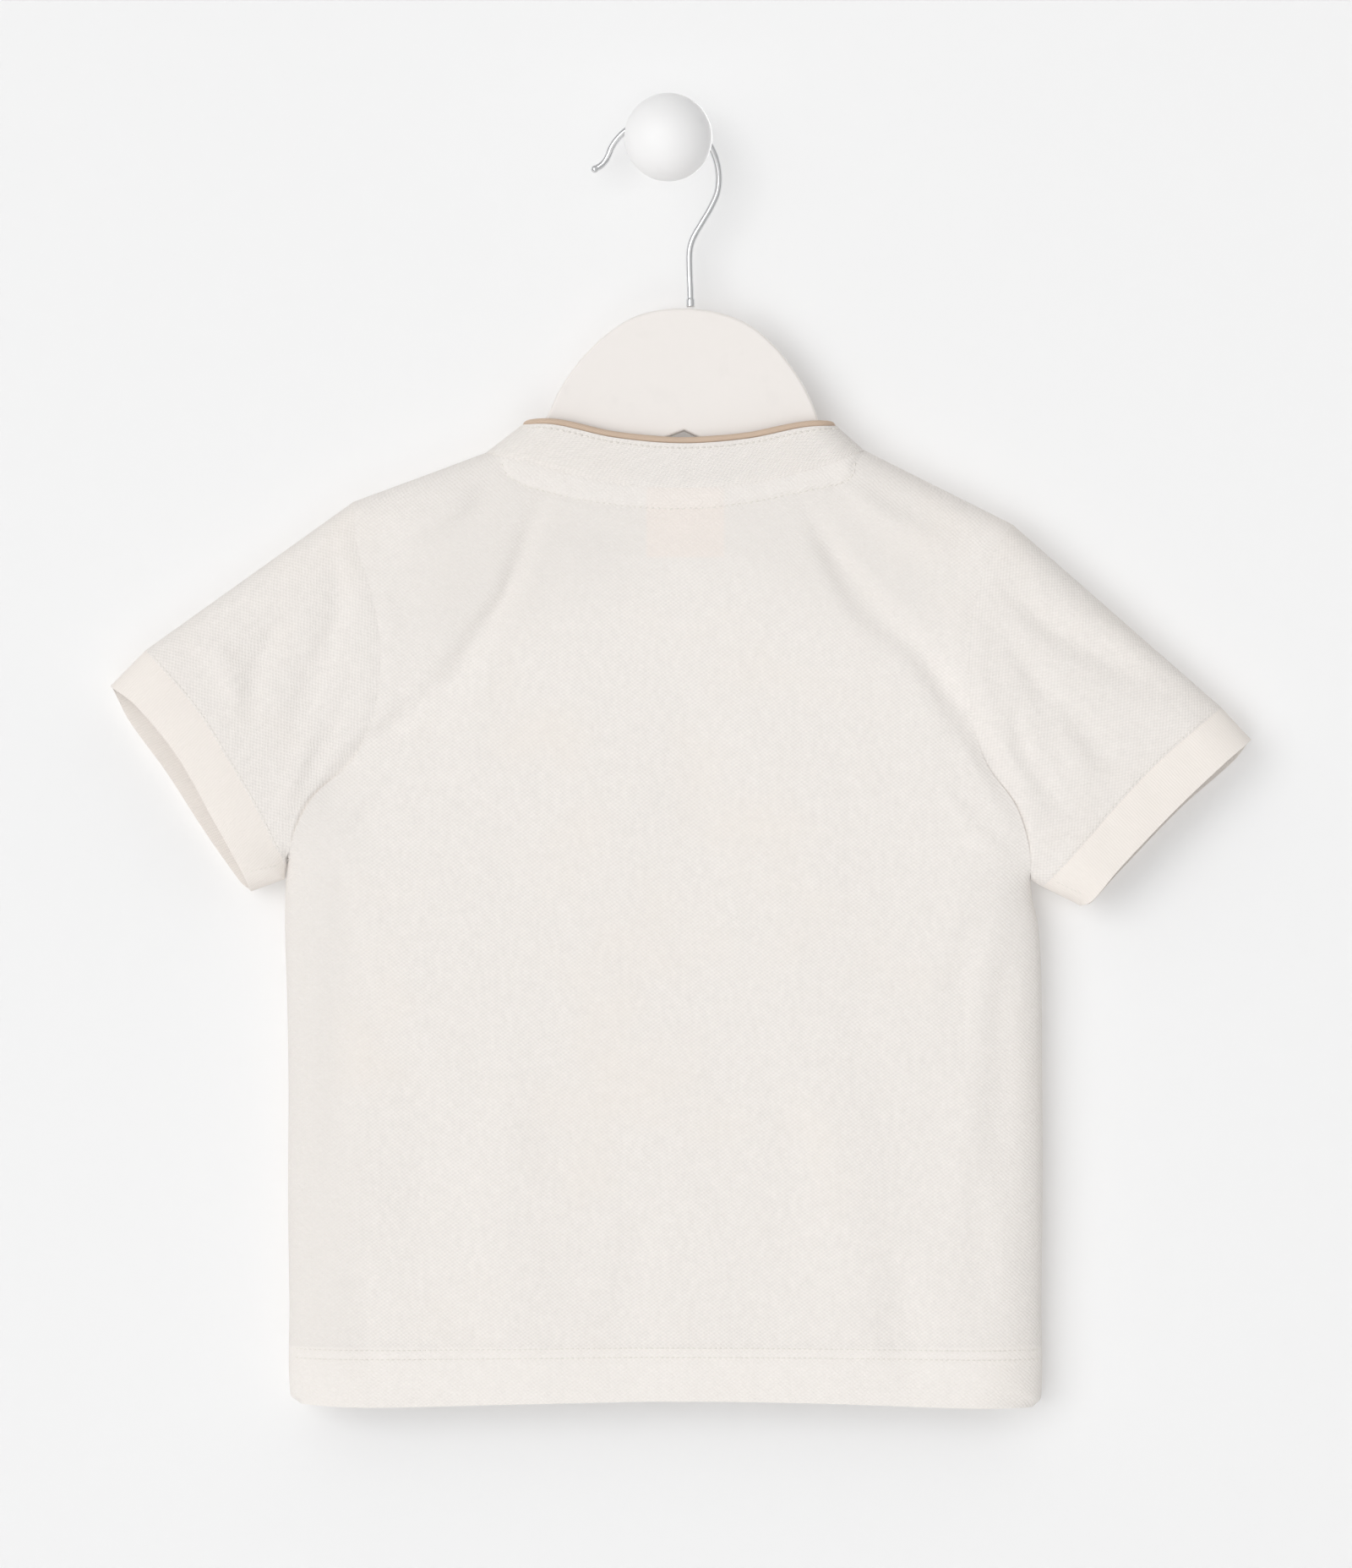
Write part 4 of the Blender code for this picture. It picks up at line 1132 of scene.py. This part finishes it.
def thread():
    return made_once("sewing_thread", thread_surface, bpy.context.scene.shirt_colours.thread)


def tape_cloth():
    return made_once("neck_tape_twill", rib_surface, bpy.context.scene.shirt_colours.tape, 0.8, 0.12)


def row_on(face, points, lift=0.0, relief=None):
    """A line of stitches on a panel, through plan points."""
    dense, _ = resampled(np.asarray(points, float), 0.8)
    places = cloth_points(face, dense, lift)
    if relief is not None:
        places[:, 1] += face * relief(dense) * roundness(dense)
    return places, face


# One operator for each piece or group of like pieces


class SHIRT_OT_panels(bpy.types.Operator):
    """Build the back and the front of the body"""

    bl_idname = "shirt.panels"
    bl_label = "Back and front"

    def execute(self, context):
        sizes = context.scene.shirt_sizes
        for name, face, step, fine in (("back_panel", BACK, 1.9, 0.8), ("front_panel", FRONT, 2.6, 1.0)):
            columns, rows = panel_columns(step), panel_rows(step, fine)
            points = panel_plan(face, columns[:, None], rows[None, :])
            places = cloth_points(face, points, least=HALF_GAP)
            relief = hem_relief(points)
            if face == BACK:
                relief = relief + tape_relief(points)
            places[..., 1] += face * relief * roundness(points)
            places[..., 1] = MID_Y + face * np.maximum(face * (places[..., 1] - MID_Y), HALF_GAP)
            for edge in (places[0], places[-1]):
                edge[rows <= ARMPIT, 1] = MID_Y + face * HALF_GAP
            kept = None
            if face == FRONT:
                across, ups = (columns[:-1] + columns[1:]) / 2, (rows[:-1] + rows[1:]) / 2
                within = (across > SLIT_LEFT) & (across < SLIT_RIGHT)
                kept = ~(within[:, None] & (ups > SLIT_END))
            surface, marks = cloth_surface(), {}
            if face == BACK:
                surface = cloth_surface("knit_cloth_over_tape", backed_and_shaded=True)
                marks = {"tape_above": above_tape_row(points)}
            obj = cloth_wall(name, places, surface, sizes.cloth_thickness, kept=kept, marks=marks)
            finish_piece(obj, "pique", name)
        return {"FINISHED"}


class SHIRT_OT_sleeves(bpy.types.Operator):
    """Build the two sleeves"""

    bl_idname = "shirt.sleeves"
    bl_label = "Sleeves"

    def execute(self, context):
        sizes, rows = context.scene.shirt_sizes, 38
        for name, side, area in (("sleeve_left", -1, 0.0124), ("sleeve_right", 1, 0.0136)):
            faces, shares = loop_places(seam_shares(0.12, 9, 0.0145))
            seam = plan(ARMHOLE_ROWS, shares, side)
            end = plan(CUFF_SEAM_ROWS, shares, side)
            low = eased(shares, 0.55, 0.82) * (1 - eased(shares, 0.9, 1.0))
            low = np.where(faces == BACK, low, 0)
            behind = -0.9 * low[:, None] * (1 - eased(np.linspace(0, 1, rows), 0.0, 0.3))
            places = band_places(faces, seam, end - unit(end - seam) * SEAM_GAP, rows, 2 * SEAM_GAP, behind)
            # The sleeves' knit is the body's, made darker as painted shade
            surface = cloth_surface("knit_cloth_sleeve", share=0.975)
            obj = cloth_wall(name, places, surface, sizes.cloth_thickness, SLEEVE_GRAIN * side, wrap=True)
            finish_piece(obj, "pique", name)
        return {"FINISHED"}


class SHIRT_OT_cuffs(bpy.types.Operator):
    """Build the bands at the ends of the sleeves"""

    bl_idname = "shirt.cuffs"
    bl_label = "Cuffs"

    def execute(self, context):
        sizes, colours = context.scene.shirt_sizes, context.scene.shirt_colours
        surface = made_once("cuff_rib", rib_surface, colours.cuff, 0.95, 0.07)
        rows = 20
        roll = -0.25 + 0.35 * np.sin(np.linspace(0.1, math.pi - 0.35, rows))
        for name, side, area in (("cuff_left", -1, 0.0035), ("cuff_right", 1, 0.0032)):
            faces, shares = loop_places(seam_shares(0.14, 14, 0.012))
            seam = plan(CUFF_SEAM_ROWS, shares, side)
            mouth = both_faces(faces, plan(MOUTH_ROWS, shares, side), plan(MOUTH_ROWS, shares, side, FRONT))
            places = band_places(faces, seam, mouth, rows, SEAM_GAP, roll[None, :])
            obj = cloth_wall(name, places, surface, sizes.cloth_thickness, wrap=True, laid=along_band)
            finish_piece(obj, "jersey", name)
        return {"FINISHED"}


class SHIRT_OT_collar(bpy.types.Operator):
    """Build the standing collar and the piping along its edge"""

    bl_idname = "shirt.collar"
    bl_label = "Collar and piping"

    def execute(self, context):
        sizes, colours = context.scene.shirt_sizes, context.scene.shirt_colours
        # The collar's knit is the body's, made darker as painted shade
        cloth = cloth_surface("knit_cloth_collar", 0.12, share=0.98)
        shares = seam_shares(0.08, 8, 0.0115)
        front = shares[(shares > 0) & (shares < 0.5 - COLLAR_SPLIT)]
        left = np.concatenate(([0.5 - COLLAR_SPLIT], front[::-1]))
        faces = np.concatenate((np.full(len(left), FRONT), np.full(len(shares), BACK), np.full(len(left), FRONT)))
        shares = np.concatenate((left, shares, 1 - left[::-1]))
        foot = both_faces(faces, neck_point(BACK, shares), neck_point(FRONT, shares))
        top = both_faces(faces, collar_top(BACK, shares), collar_top(FRONT, shares))
        lift = COLLAR_LIFT * np.sin(np.linspace(*COLLAR_ROLL, 12))
        places = band_places(faces, foot, top, len(lift), SEAM_GAP, lift[None, :])
        stand = cloth_wall("collar_stand", places, cloth, sizes.collar_thickness, COLLAR_GRAIN, laid=along_band)
        finish_piece(stand, "pique", "collar_stand")

        radius, wall = sizes.piping_radius / MM, sizes.collar_thickness / MM
        rise = unit(top - foot)
        inward = np.sign(0.5 - shares) * (1 - roundness(top)) * wall / 2
        path = top + rise * (SEAM_GAP + radius)
        path[:, 0] += inward
        path[:, 1] -= 1.1 * (1 - roundness(top)) ** 2
        depth = np.maximum(np.where(faces == BACK, half_depth(BACK, top), half_depth(FRONT, top)) - wall / 2, 0)
        line = points_of(path[:, 0], MID_Y + faces * depth, path[:, 1])
        line, _ = resampled(line, 1.0)
        along = np.arange(len(line))
        radii = radius * (1 + 0.035 * np.sin(along * math.pi) + 0.03 * np.sin(along / 3.7))
        surface = made_once("collar_binding", binding_surface, colours.piping)
        piping = tube("collar_piping", line, radii, surface, 14)
        finish_piece(piping, "piping", "collar_piping")

        edge = mix(top, foot, np.full(len(top), EDGE_STITCH / COLLAR_HEIGHT))
        rows = []
        for face, chosen in ((BACK, faces == BACK), (FRONT, np.arange(len(faces)) < len(left))):
            rows.append((collar_row(face, edge[chosen]), face))
        rows.append((collar_row(FRONT, edge[-len(left) :]), FRONT))
        seams = stitches("collar_stitches", rows, thread())
        finish_piece(seams, "piping")
        return {"FINISHED"}


def collar_row(face, points):
    dense, _ = resampled(points, 0.8)
    return cloth_points(face, dense, COLLAR_LIFT * math.sin(COLLAR_ROLL[1] - 0.2) * roundness(dense))


class SHIRT_OT_neck_inside(bpy.types.Operator):
    """Build the tape and the blank label inside the back of the neck"""

    bl_idname = "shirt.neck_inside"
    bl_label = "Neck tape and label"

    def execute(self, context):
        surface = tape_cloth()
        wall = context.scene.shirt_sizes.cloth_thickness / MM
        strips = (
            # piece, shares of the neckline, drops, how far inside, thickness, flat size, area
            ("back_neck_tape", (0.065, 0.935), (0.5, 8.4), wall + 0.65, 0.8, (0.122, 0.0102), 0.00098),
            ("neck_label", (0.417, 0.622), (1.0, 25.5), wall + 1.6, 0.7, (0.029, 0.0255), 0.00074),
        )
        for name, (start, end), (high, low), inside, thick, flat, area in strips:
            shares = np.linspace(start, end, int((end - start) * 110) + 8)
            drops = np.linspace(high, low, 14)
            points = neck_point(BACK, shares)[:, None] - np.stack((np.zeros(14), drops), -1)[None]
            curl = 0.5 * (drops / 25.5) ** 3 * np.sin(np.linspace(0.4, 2.6, len(shares)))[:, None]
            places = cloth_points(BACK, points, -inside - curl)
            obj = cloth_wall(name, places, surface, thick * MM, laid=along_band)
            finish_piece(obj, "label" if name == "neck_label" else "jersey", name)
        return {"FINISHED"}


def slit_widened(spread):
    """The sides and the end of the slit, as shares of a panel, this many millimetres further out."""
    wider = spread / PLACKET_WIDTH
    return SLIT_LEFT - wider, SLIT_RIGHT + wider, SLIT_END - spread / PANEL_HEIGHT


class SHIRT_OT_placket(bpy.types.Operator):
    """Build the two layers of the placket in the front, with its buttons and buttonholes"""

    bl_idname = "shirt.placket"
    bl_label = "Placket and buttons"

    def execute(self, context):
        sizes, colours = context.scene.shirt_sizes, context.scene.shirt_colours
        cloth, sewing = cloth_surface(), thread()
        layers = (
            # piece, how far wider than the slit on each side, lift, flat size, area
            ("placket_under", -SLIT_CLEAR, 0.0, (0.017, 0.066), 0.0011),
            ("placket_upper", PLACKET_SPREAD, PLACKET_LIFT, (0.021, 0.069), 0.00144),
        )
        for name, spread, lift, flat, area in layers:
            left, right, low = slit_widened(spread)
            across, ups = np.linspace(left, right, 15), np.linspace(low, 1, 42)
            points = panel_plan(FRONT, across[:, None], ups[None, :])
            obj = cloth_wall(name, cloth_points(FRONT, points, lift), cloth, PLACKET_THICK * MM)
            finish_piece(obj, "pique", name)

        rows = []
        left, right, low = slit_widened(PLACKET_SPREAD - PLACKET_INSET)
        outline = ((left, 0.995), (left, low), (right, low), (right, 0.995))
        for (from_across, from_up), (to_across, to_up) in zip(outline, outline[1:]):
            points = panel_plan(FRONT, np.linspace(from_across, to_across, 30), np.linspace(from_up, to_up, 30))
            rows.append(row_on(FRONT, points, PLACKET_LIFT))
        button = button_mesh(sizes.button_radius / MM)
        button.materials.append(made_once("button_pearl", button_surface, colours.button))
        for number in (1, 2, 3):
            name = f"button_{number}"
            low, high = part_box(name)
            obj = placed(name + "_piece", button)
            obj.location = (low + high) / 2
            finish_piece(obj, "button", name)
            middle = np.array(((low.x + high.x) / 2, (low.z + high.z) / 2)) / MM
            for at in BUTTONHOLE_SIDES:
                hole = middle + np.array(((at, -BUTTONHOLE_REACH), (at, BUTTONHOLE_REACH)))
                rows.append(row_on(FRONT, hole, PLACKET_LIFT))
            rows += button_threads(np.array(obj.location) / MM)
        finish_piece(stitches("placket_stitches", rows, sewing), "pique")
        return {"FINISHED"}


def button_mesh(radius):
    """A turned button with a raised rim and four sewing holes, facing +Y."""
    profile = ((0.0, 0.30), (0.52, 0.26), (0.66, 0.42), (0.80, 0.78), (0.90, 0.80), (0.97, 0.55), (1.0, 0.0))
    profile += ((0.96, -0.55), (0.86, -0.75), (0.5, -0.80), (0.0, -0.80))
    turned = placed("button_blank", turned_mesh("button", [(share * radius, y) for share, y in profile], 40))
    drills = []
    for x, z in BUTTON_HOLES:
        path = [(x, y, z) for y in (-3.0, 0.0, 3.0)]
        drill = tube("drill", path, [0.42] * 3, thread(), 12)
        cut = turned.modifiers.new("Hole", "BOOLEAN")
        cut.operation, cut.solver, cut.object = "DIFFERENCE", "EXACT", drill
        drills.append(drill)
    apply_modifiers(turned)
    mesh = turned.data
    mesh.materials.clear()
    mesh.shade_smooth()
    mesh.set_sharp_from_angle(angle=math.radians(38))
    for obj in [*drills, turned]:
        bpy.data.objects.remove(obj)
    return mesh


def button_threads(centre):
    """Two bars of thread across the button's holes."""
    x, z = BUTTON_HOLES[0]
    return [(centre + np.array(((-x, THREAD_RISE, z * up), (x, THREAD_RISE, z * up))), FRONT) for up in (1, -1)]


class SHIRT_OT_stitching(bpy.types.Operator):
    """Sew the rows of stitches that show on the body, the sleeves and the cuffs"""

    bl_idname = "shirt.stitching"
    bl_label = "Stitching"

    def execute(self, context):
        sewing = thread()
        across = np.linspace(-0.008, 1.008, 160)
        hem = hem_point(across)
        rows = []
        for face in (BACK, FRONT):
            for height in HEM_STITCHES:
                line = hem.copy()
                line[:, 1] = HEM_LINE + height + (hem[:, 1] - hem[:, 1].mean()) * 0.4
                rows.append(row_on(face, line, relief=hem_relief))
        finish_piece(stitches("hem_stitches", rows, sewing, 0.7), "pique")
        tape_row = [row_on(BACK, TAPE_STITCHES, relief=tape_relief)]
        finish_piece(stitches("neck_stitches", tape_row, sewing), "pique")
        rows = []
        for side in (-1, 1):
            shares = np.linspace(0.03, 0.93, 60)
            seam = plan(CUFF_SEAM_ROWS, shares, side)
            inward = unit(plan(ARMHOLE_ROWS, shares, side) - seam)
            for face in (BACK, FRONT):
                rows.append(row_on(face, seam + inward * 0.8))
                rows.append(row_on(face, mix(*np.array(UNDERARM_ENDS[side][0]), np.linspace(0.04, 0.9, 12))))
        finish_piece(stitches("cuff_stitches", rows, sewing, 0.6), "pique")
        return {"FINISHED"}


def hanger_outline():
    """The board's outline from its top, down the right arm and up the left one."""
    head, drop = HANGER_ROWS[-1]
    offsets = np.concatenate((np.linspace(0, head, 70)[1:], np.linspace(head, ARM_END, 8)[1:]))
    drops = smooth(HANGER_ROWS, np.minimum(offsets, head), 1)
    drops = np.where(offsets < head, drops, drop + (offsets - head) * ARM_SLOPE)
    tip = np.array((ARM_END, -drops[-1] - ARM_END_RADIUS))
    angles = math.pi / 2 - math.atan(ARM_SLOPE) - math.pi * np.linspace(0, 1, 22)
    upper = [*zip(offsets, -drops)]
    upper += [tuple(tip + np.array((math.cos(a), math.sin(a))) * ARM_END_RADIUS) for a in angles]
    return [(0.0, 0.0), *upper, (0.0, -HANGER_LOWER_APEX), *((-x, z) for x, z in reversed(upper))]


class SHIRT_OT_hanger(bpy.types.Operator):
    """Build the painted board that the shirt hangs on"""

    bl_idname = "shirt.hanger"
    bl_label = "Hanger board"

    def execute(self, context):
        sizes, colours = context.scene.shirt_sizes, context.scene.shirt_colours
        outline = hanger_outline()
        curve = bpy.data.curves.new("hanger_outline", "CURVE")
        curve.dimensions, curve.fill_mode = "2D", "BOTH"
        spline = curve.splines.new("POLY")
        spline.points.add(len(outline) - 1)
        for knot, (x, z) in zip(spline.points, outline):
            knot.co = (x * MM, z * MM, 0, 1)
        spline.use_cyclic_u = True
        curve.bevel_depth, curve.bevel_resolution = BOARD_ROUNDING * MM, 4
        curve.offset = -BOARD_ROUNDING * MM
        curve.extrude = sizes.board_thickness / 2 - BOARD_ROUNDING * MM
        drawn = placed("hanger_outline", curve)
        turn = Matrix.Rotation(HANGER_TILT, 4, "Y") @ Matrix.Rotation(math.radians(90), 4, "X")
        place = Matrix.Translation(Vector((HANGER_TOP[0], MID_Y, HANGER_TOP[1])) * MM)
        mesh = bpy.data.meshes.new_from_object(drawn.evaluated_get(context.evaluated_depsgraph_get()))
        bpy.data.objects.remove(drawn)
        mesh.transform(place @ turn)
        board = placed("hanger_board_piece", mesh)
        mesh.materials.clear()
        mesh.materials.append(made_once("board_enamel", painted_surface, colours.board, 0.42, 0.035, 0.9))
        edited(mesh, merged, faced_outward)
        mesh.shade_smooth()
        board.modifiers.new("Even", "WEIGHTED_NORMAL").keep_sharp = True
        apply_modifiers(board)
        finish_piece(board, "hanger_paint", "hanger_board")
        return {"FINISHED"}


class SHIRT_OT_hook(bpy.types.Operator):
    """Bend the plated hook and its ball tip"""

    bl_idname = "shirt.hook"
    bl_label = "Hook"

    def execute(self, context):
        sizes, colours = context.scene.shirt_sizes, context.scene.shirt_colours
        rows = [(index, *row) for index, row in enumerate(HOOK_ROWS)]
        places = np.linspace(0, len(rows) - 1, 190)
        x, z = smooth(rows, places, 1), smooth(rows, places, 2)
        pitch = 0.55
        line, _ = resampled(points_of(x, np.full(len(x), MID_Y), z), pitch)
        gone = np.arange(len(line)) * pitch
        ball = np.sqrt(np.maximum(BALL_TIP**2 - (gone - BALL_TIP * 0.97) ** 2, 0.04))
        wire = sizes.wire_radius / MM
        radii = np.where(gone < BALL_TIP * 1.6, np.maximum(ball, np.where(gone > BALL_TIP, wire * 0.96, 0)), wire)
        radii[line[:, 2] < FERRULE_TOP] = wire * 1.25
        surface = made_once("hook_plating", chrome_surface, colours.wire)
        hook = tube("hanger_hook_piece", line, radii, surface, 28)
        finish_piece(hook, "hook_chrome", "hanger_hook")
        return {"FINISHED"}


class SHIRT_OT_knob(bpy.types.Operator):
    """Turn the wall knob: a ball on a round stem"""

    bl_idname = "shirt.knob"
    bl_label = "Wall knob"

    def execute(self, context):
        sizes, colours = context.scene.shirt_sizes, context.scene.shirt_colours
        radius = sizes.ball_radius / MM
        last = math.pi - math.asin((STEM_RADIUS + 0.9) / radius)
        angles = np.linspace(0, last, 44)
        profile = [(radius * math.sin(a), -(BALL_CENTRE + radius * math.cos(a))) for a in angles]
        root = profile[-1][1]
        profile += [(STEM_RADIUS + 0.42, root + 0.45), (STEM_RADIUS + 0.12, root + 1.1), (STEM_RADIUS, root + 2.0)]
        profile += [(STEM_RADIUS, -1.2), (STEM_RADIUS - 0.15, -0.4), (STEM_RADIUS - 0.6, 0.0), (0.0, 0.0)]
        mesh = turned_mesh("wall_knob_piece", profile, 96)
        mesh.shade_smooth()
        mesh.set_sharp_from_angle(angle=math.radians(40))
        mesh.materials.append(made_once("knob_enamel", painted_surface, colours.knob, 0.5, 0.02, 1.4))
        knob = placed("wall_knob_piece", mesh)
        knob.visible_shadow = False
        finish_piece(knob, "knob_paint", "wall_knob")
        return {"FINISHED"}


class SHIRT_OT_stage(bpy.types.Operator):
    """Set up the wall, the floor, the lights and the camera"""

    bl_idname = "shirt.stage"
    bl_label = "Stage"

    def execute(self, context):
        scene, stage = context.scene, context.scene.shirt_stage
        scene.view_settings.view_transform = "Standard"
        dull = {"Specular IOR Level": 0.2}
        surface = Surface("stage_paint", stage.wall, 0.9, **dull)
        grain = surface.noise(surface.space(), 300.0, 3.0)
        surface.set(surface.shader, {"Roughness": grain * 0.06 + 0.88})
        for name, corners in STAGE_SHEETS:
            plane = mesh_object(name, corners, [(0, 1, 2, 3)], surface.material, smooth_shaded=False)
        wall = bpy.data.objects["wall"]
        see_through = Surface("wall_paint", stage.wall, 0.9, **dull)
        back = see_through.node("ShaderNodeNewGeometry").outputs["Backfacing"]
        clear = see_through.node("ShaderNodeBsdfTransparent").outputs[0]
        shown = see_through.shader.outputs[0]
        mixer = see_through.node("ShaderNodeMixShader", values={0: back, 1: shown, 2: clear})
        see_through.set(see_through.tree.nodes["Material Output"], {"Surface": mixer.outputs[0]})
        wall.data.materials[0] = see_through.material
        wall.visible_shadow = False

        world = scene.world or bpy.data.worlds.new("room")
        scene.world = world
        world.use_nodes = True
        background = world.node_tree.nodes["Background"]
        room = Room(world)
        _, depth, _ = room.parts(room.node("ShaderNodeTexCoord").outputs["Generated"])
        facing = depth.between(0.9, -0.9)
        room.set(background, {"Color": (1.0, 1.0, 1.0, 1), "Strength": (facing * facing * 0.9 + 0.2) * stage.air})
        for name, kind, place, power, settings in (
            ("key_light", "SUN", KEY_PLACE, stage.key_strength, {"angle": stage.key_softness}),
            ("front_light", "AREA", FRONT_PLACE, stage.front_power, {"size": 1.0, "shape": "DISK"}),
            ("fill_light", "AREA", FILL_PLACE, stage.fill_power, {"size": 1.2, "shape": "DISK"}),
        ):
            light = bpy.data.lights.new(name, kind)
            light.energy = power
            for setting, value in settings.items():
                setattr(light, setting, value)
            lamp = placed(name, light)
            lamp.location = place
            lamp.rotation_euler = (Vector(LIGHT_AIM) - lamp.location).to_track_quat("-Z", "Y").to_euler()

        lens = bpy.data.cameras.new("photo_camera")
        lens.sensor_width, lens.lens = 36.0, stage.lens
        lens.clip_end = 20.0
        camera = placed("photo_camera", lens)
        camera.location = CAMERA_PLACE
        camera.rotation_euler = (math.radians(90), 0, 0)
        scene.camera = camera
        return {"FINISHED"}


class SHIRT_PT_sidebar(bpy.types.Panel):
    """The shirt's settings, and a button for each piece"""

    bl_idname = "SHIRT_PT_sidebar"
    bl_label = "Hanging shirt"
    bl_space_type = "VIEW_3D"
    bl_region_type = "UI"
    bl_category = "Shirt"

    def draw(self, context):
        layout = self.layout
        for settings in (context.scene.shirt_sizes, context.scene.shirt_colours, context.scene.shirt_stage):
            box = layout.box()
            for name in settings.__annotations__:
                box.prop(settings, name)
        for operator in OPERATORS:
            layout.operator(operator.bl_idname)


OPERATORS = (
    SHIRT_OT_panels,
    SHIRT_OT_sleeves,
    SHIRT_OT_cuffs,
    SHIRT_OT_collar,
    SHIRT_OT_neck_inside,
    SHIRT_OT_placket,
    SHIRT_OT_stitching,
    SHIRT_OT_hanger,
    SHIRT_OT_hook,
    SHIRT_OT_knob,
    SHIRT_OT_stage,
)
CLASSES = (ShirtSizes, ShirtColours, StageSettings, *OPERATORS, SHIRT_PT_sidebar)


def register():
    for made in CLASSES:
        bpy.utils.register_class(made)
    bpy.types.Scene.shirt_sizes = bpy.props.PointerProperty(type=ShirtSizes)
    bpy.types.Scene.shirt_colours = bpy.props.PointerProperty(type=ShirtColours)
    bpy.types.Scene.shirt_stage = bpy.props.PointerProperty(type=StageSettings)


def unregister():
    for name in ("shirt_sizes", "shirt_colours", "shirt_stage"):
        delattr(bpy.types.Scene, name)
    for made in reversed(CLASSES):
        bpy.utils.unregister_class(made)


def main():
    for obj in [obj for obj in bpy.data.objects if obj.name in STARTUP_OBJECTS]:
        bpy.data.objects.remove(obj)
    register()
    bpy.ops.shirt.panels()
    bpy.ops.shirt.sleeves()
    bpy.ops.shirt.cuffs()
    bpy.ops.shirt.collar()
    bpy.ops.shirt.neck_inside()
    bpy.ops.shirt.placket()
    bpy.ops.shirt.stitching()
    bpy.ops.shirt.hanger()
    bpy.ops.shirt.hook()
    bpy.ops.shirt.knob()
    bpy.ops.shirt.stage()


if __name__ == "__main__":
    main()
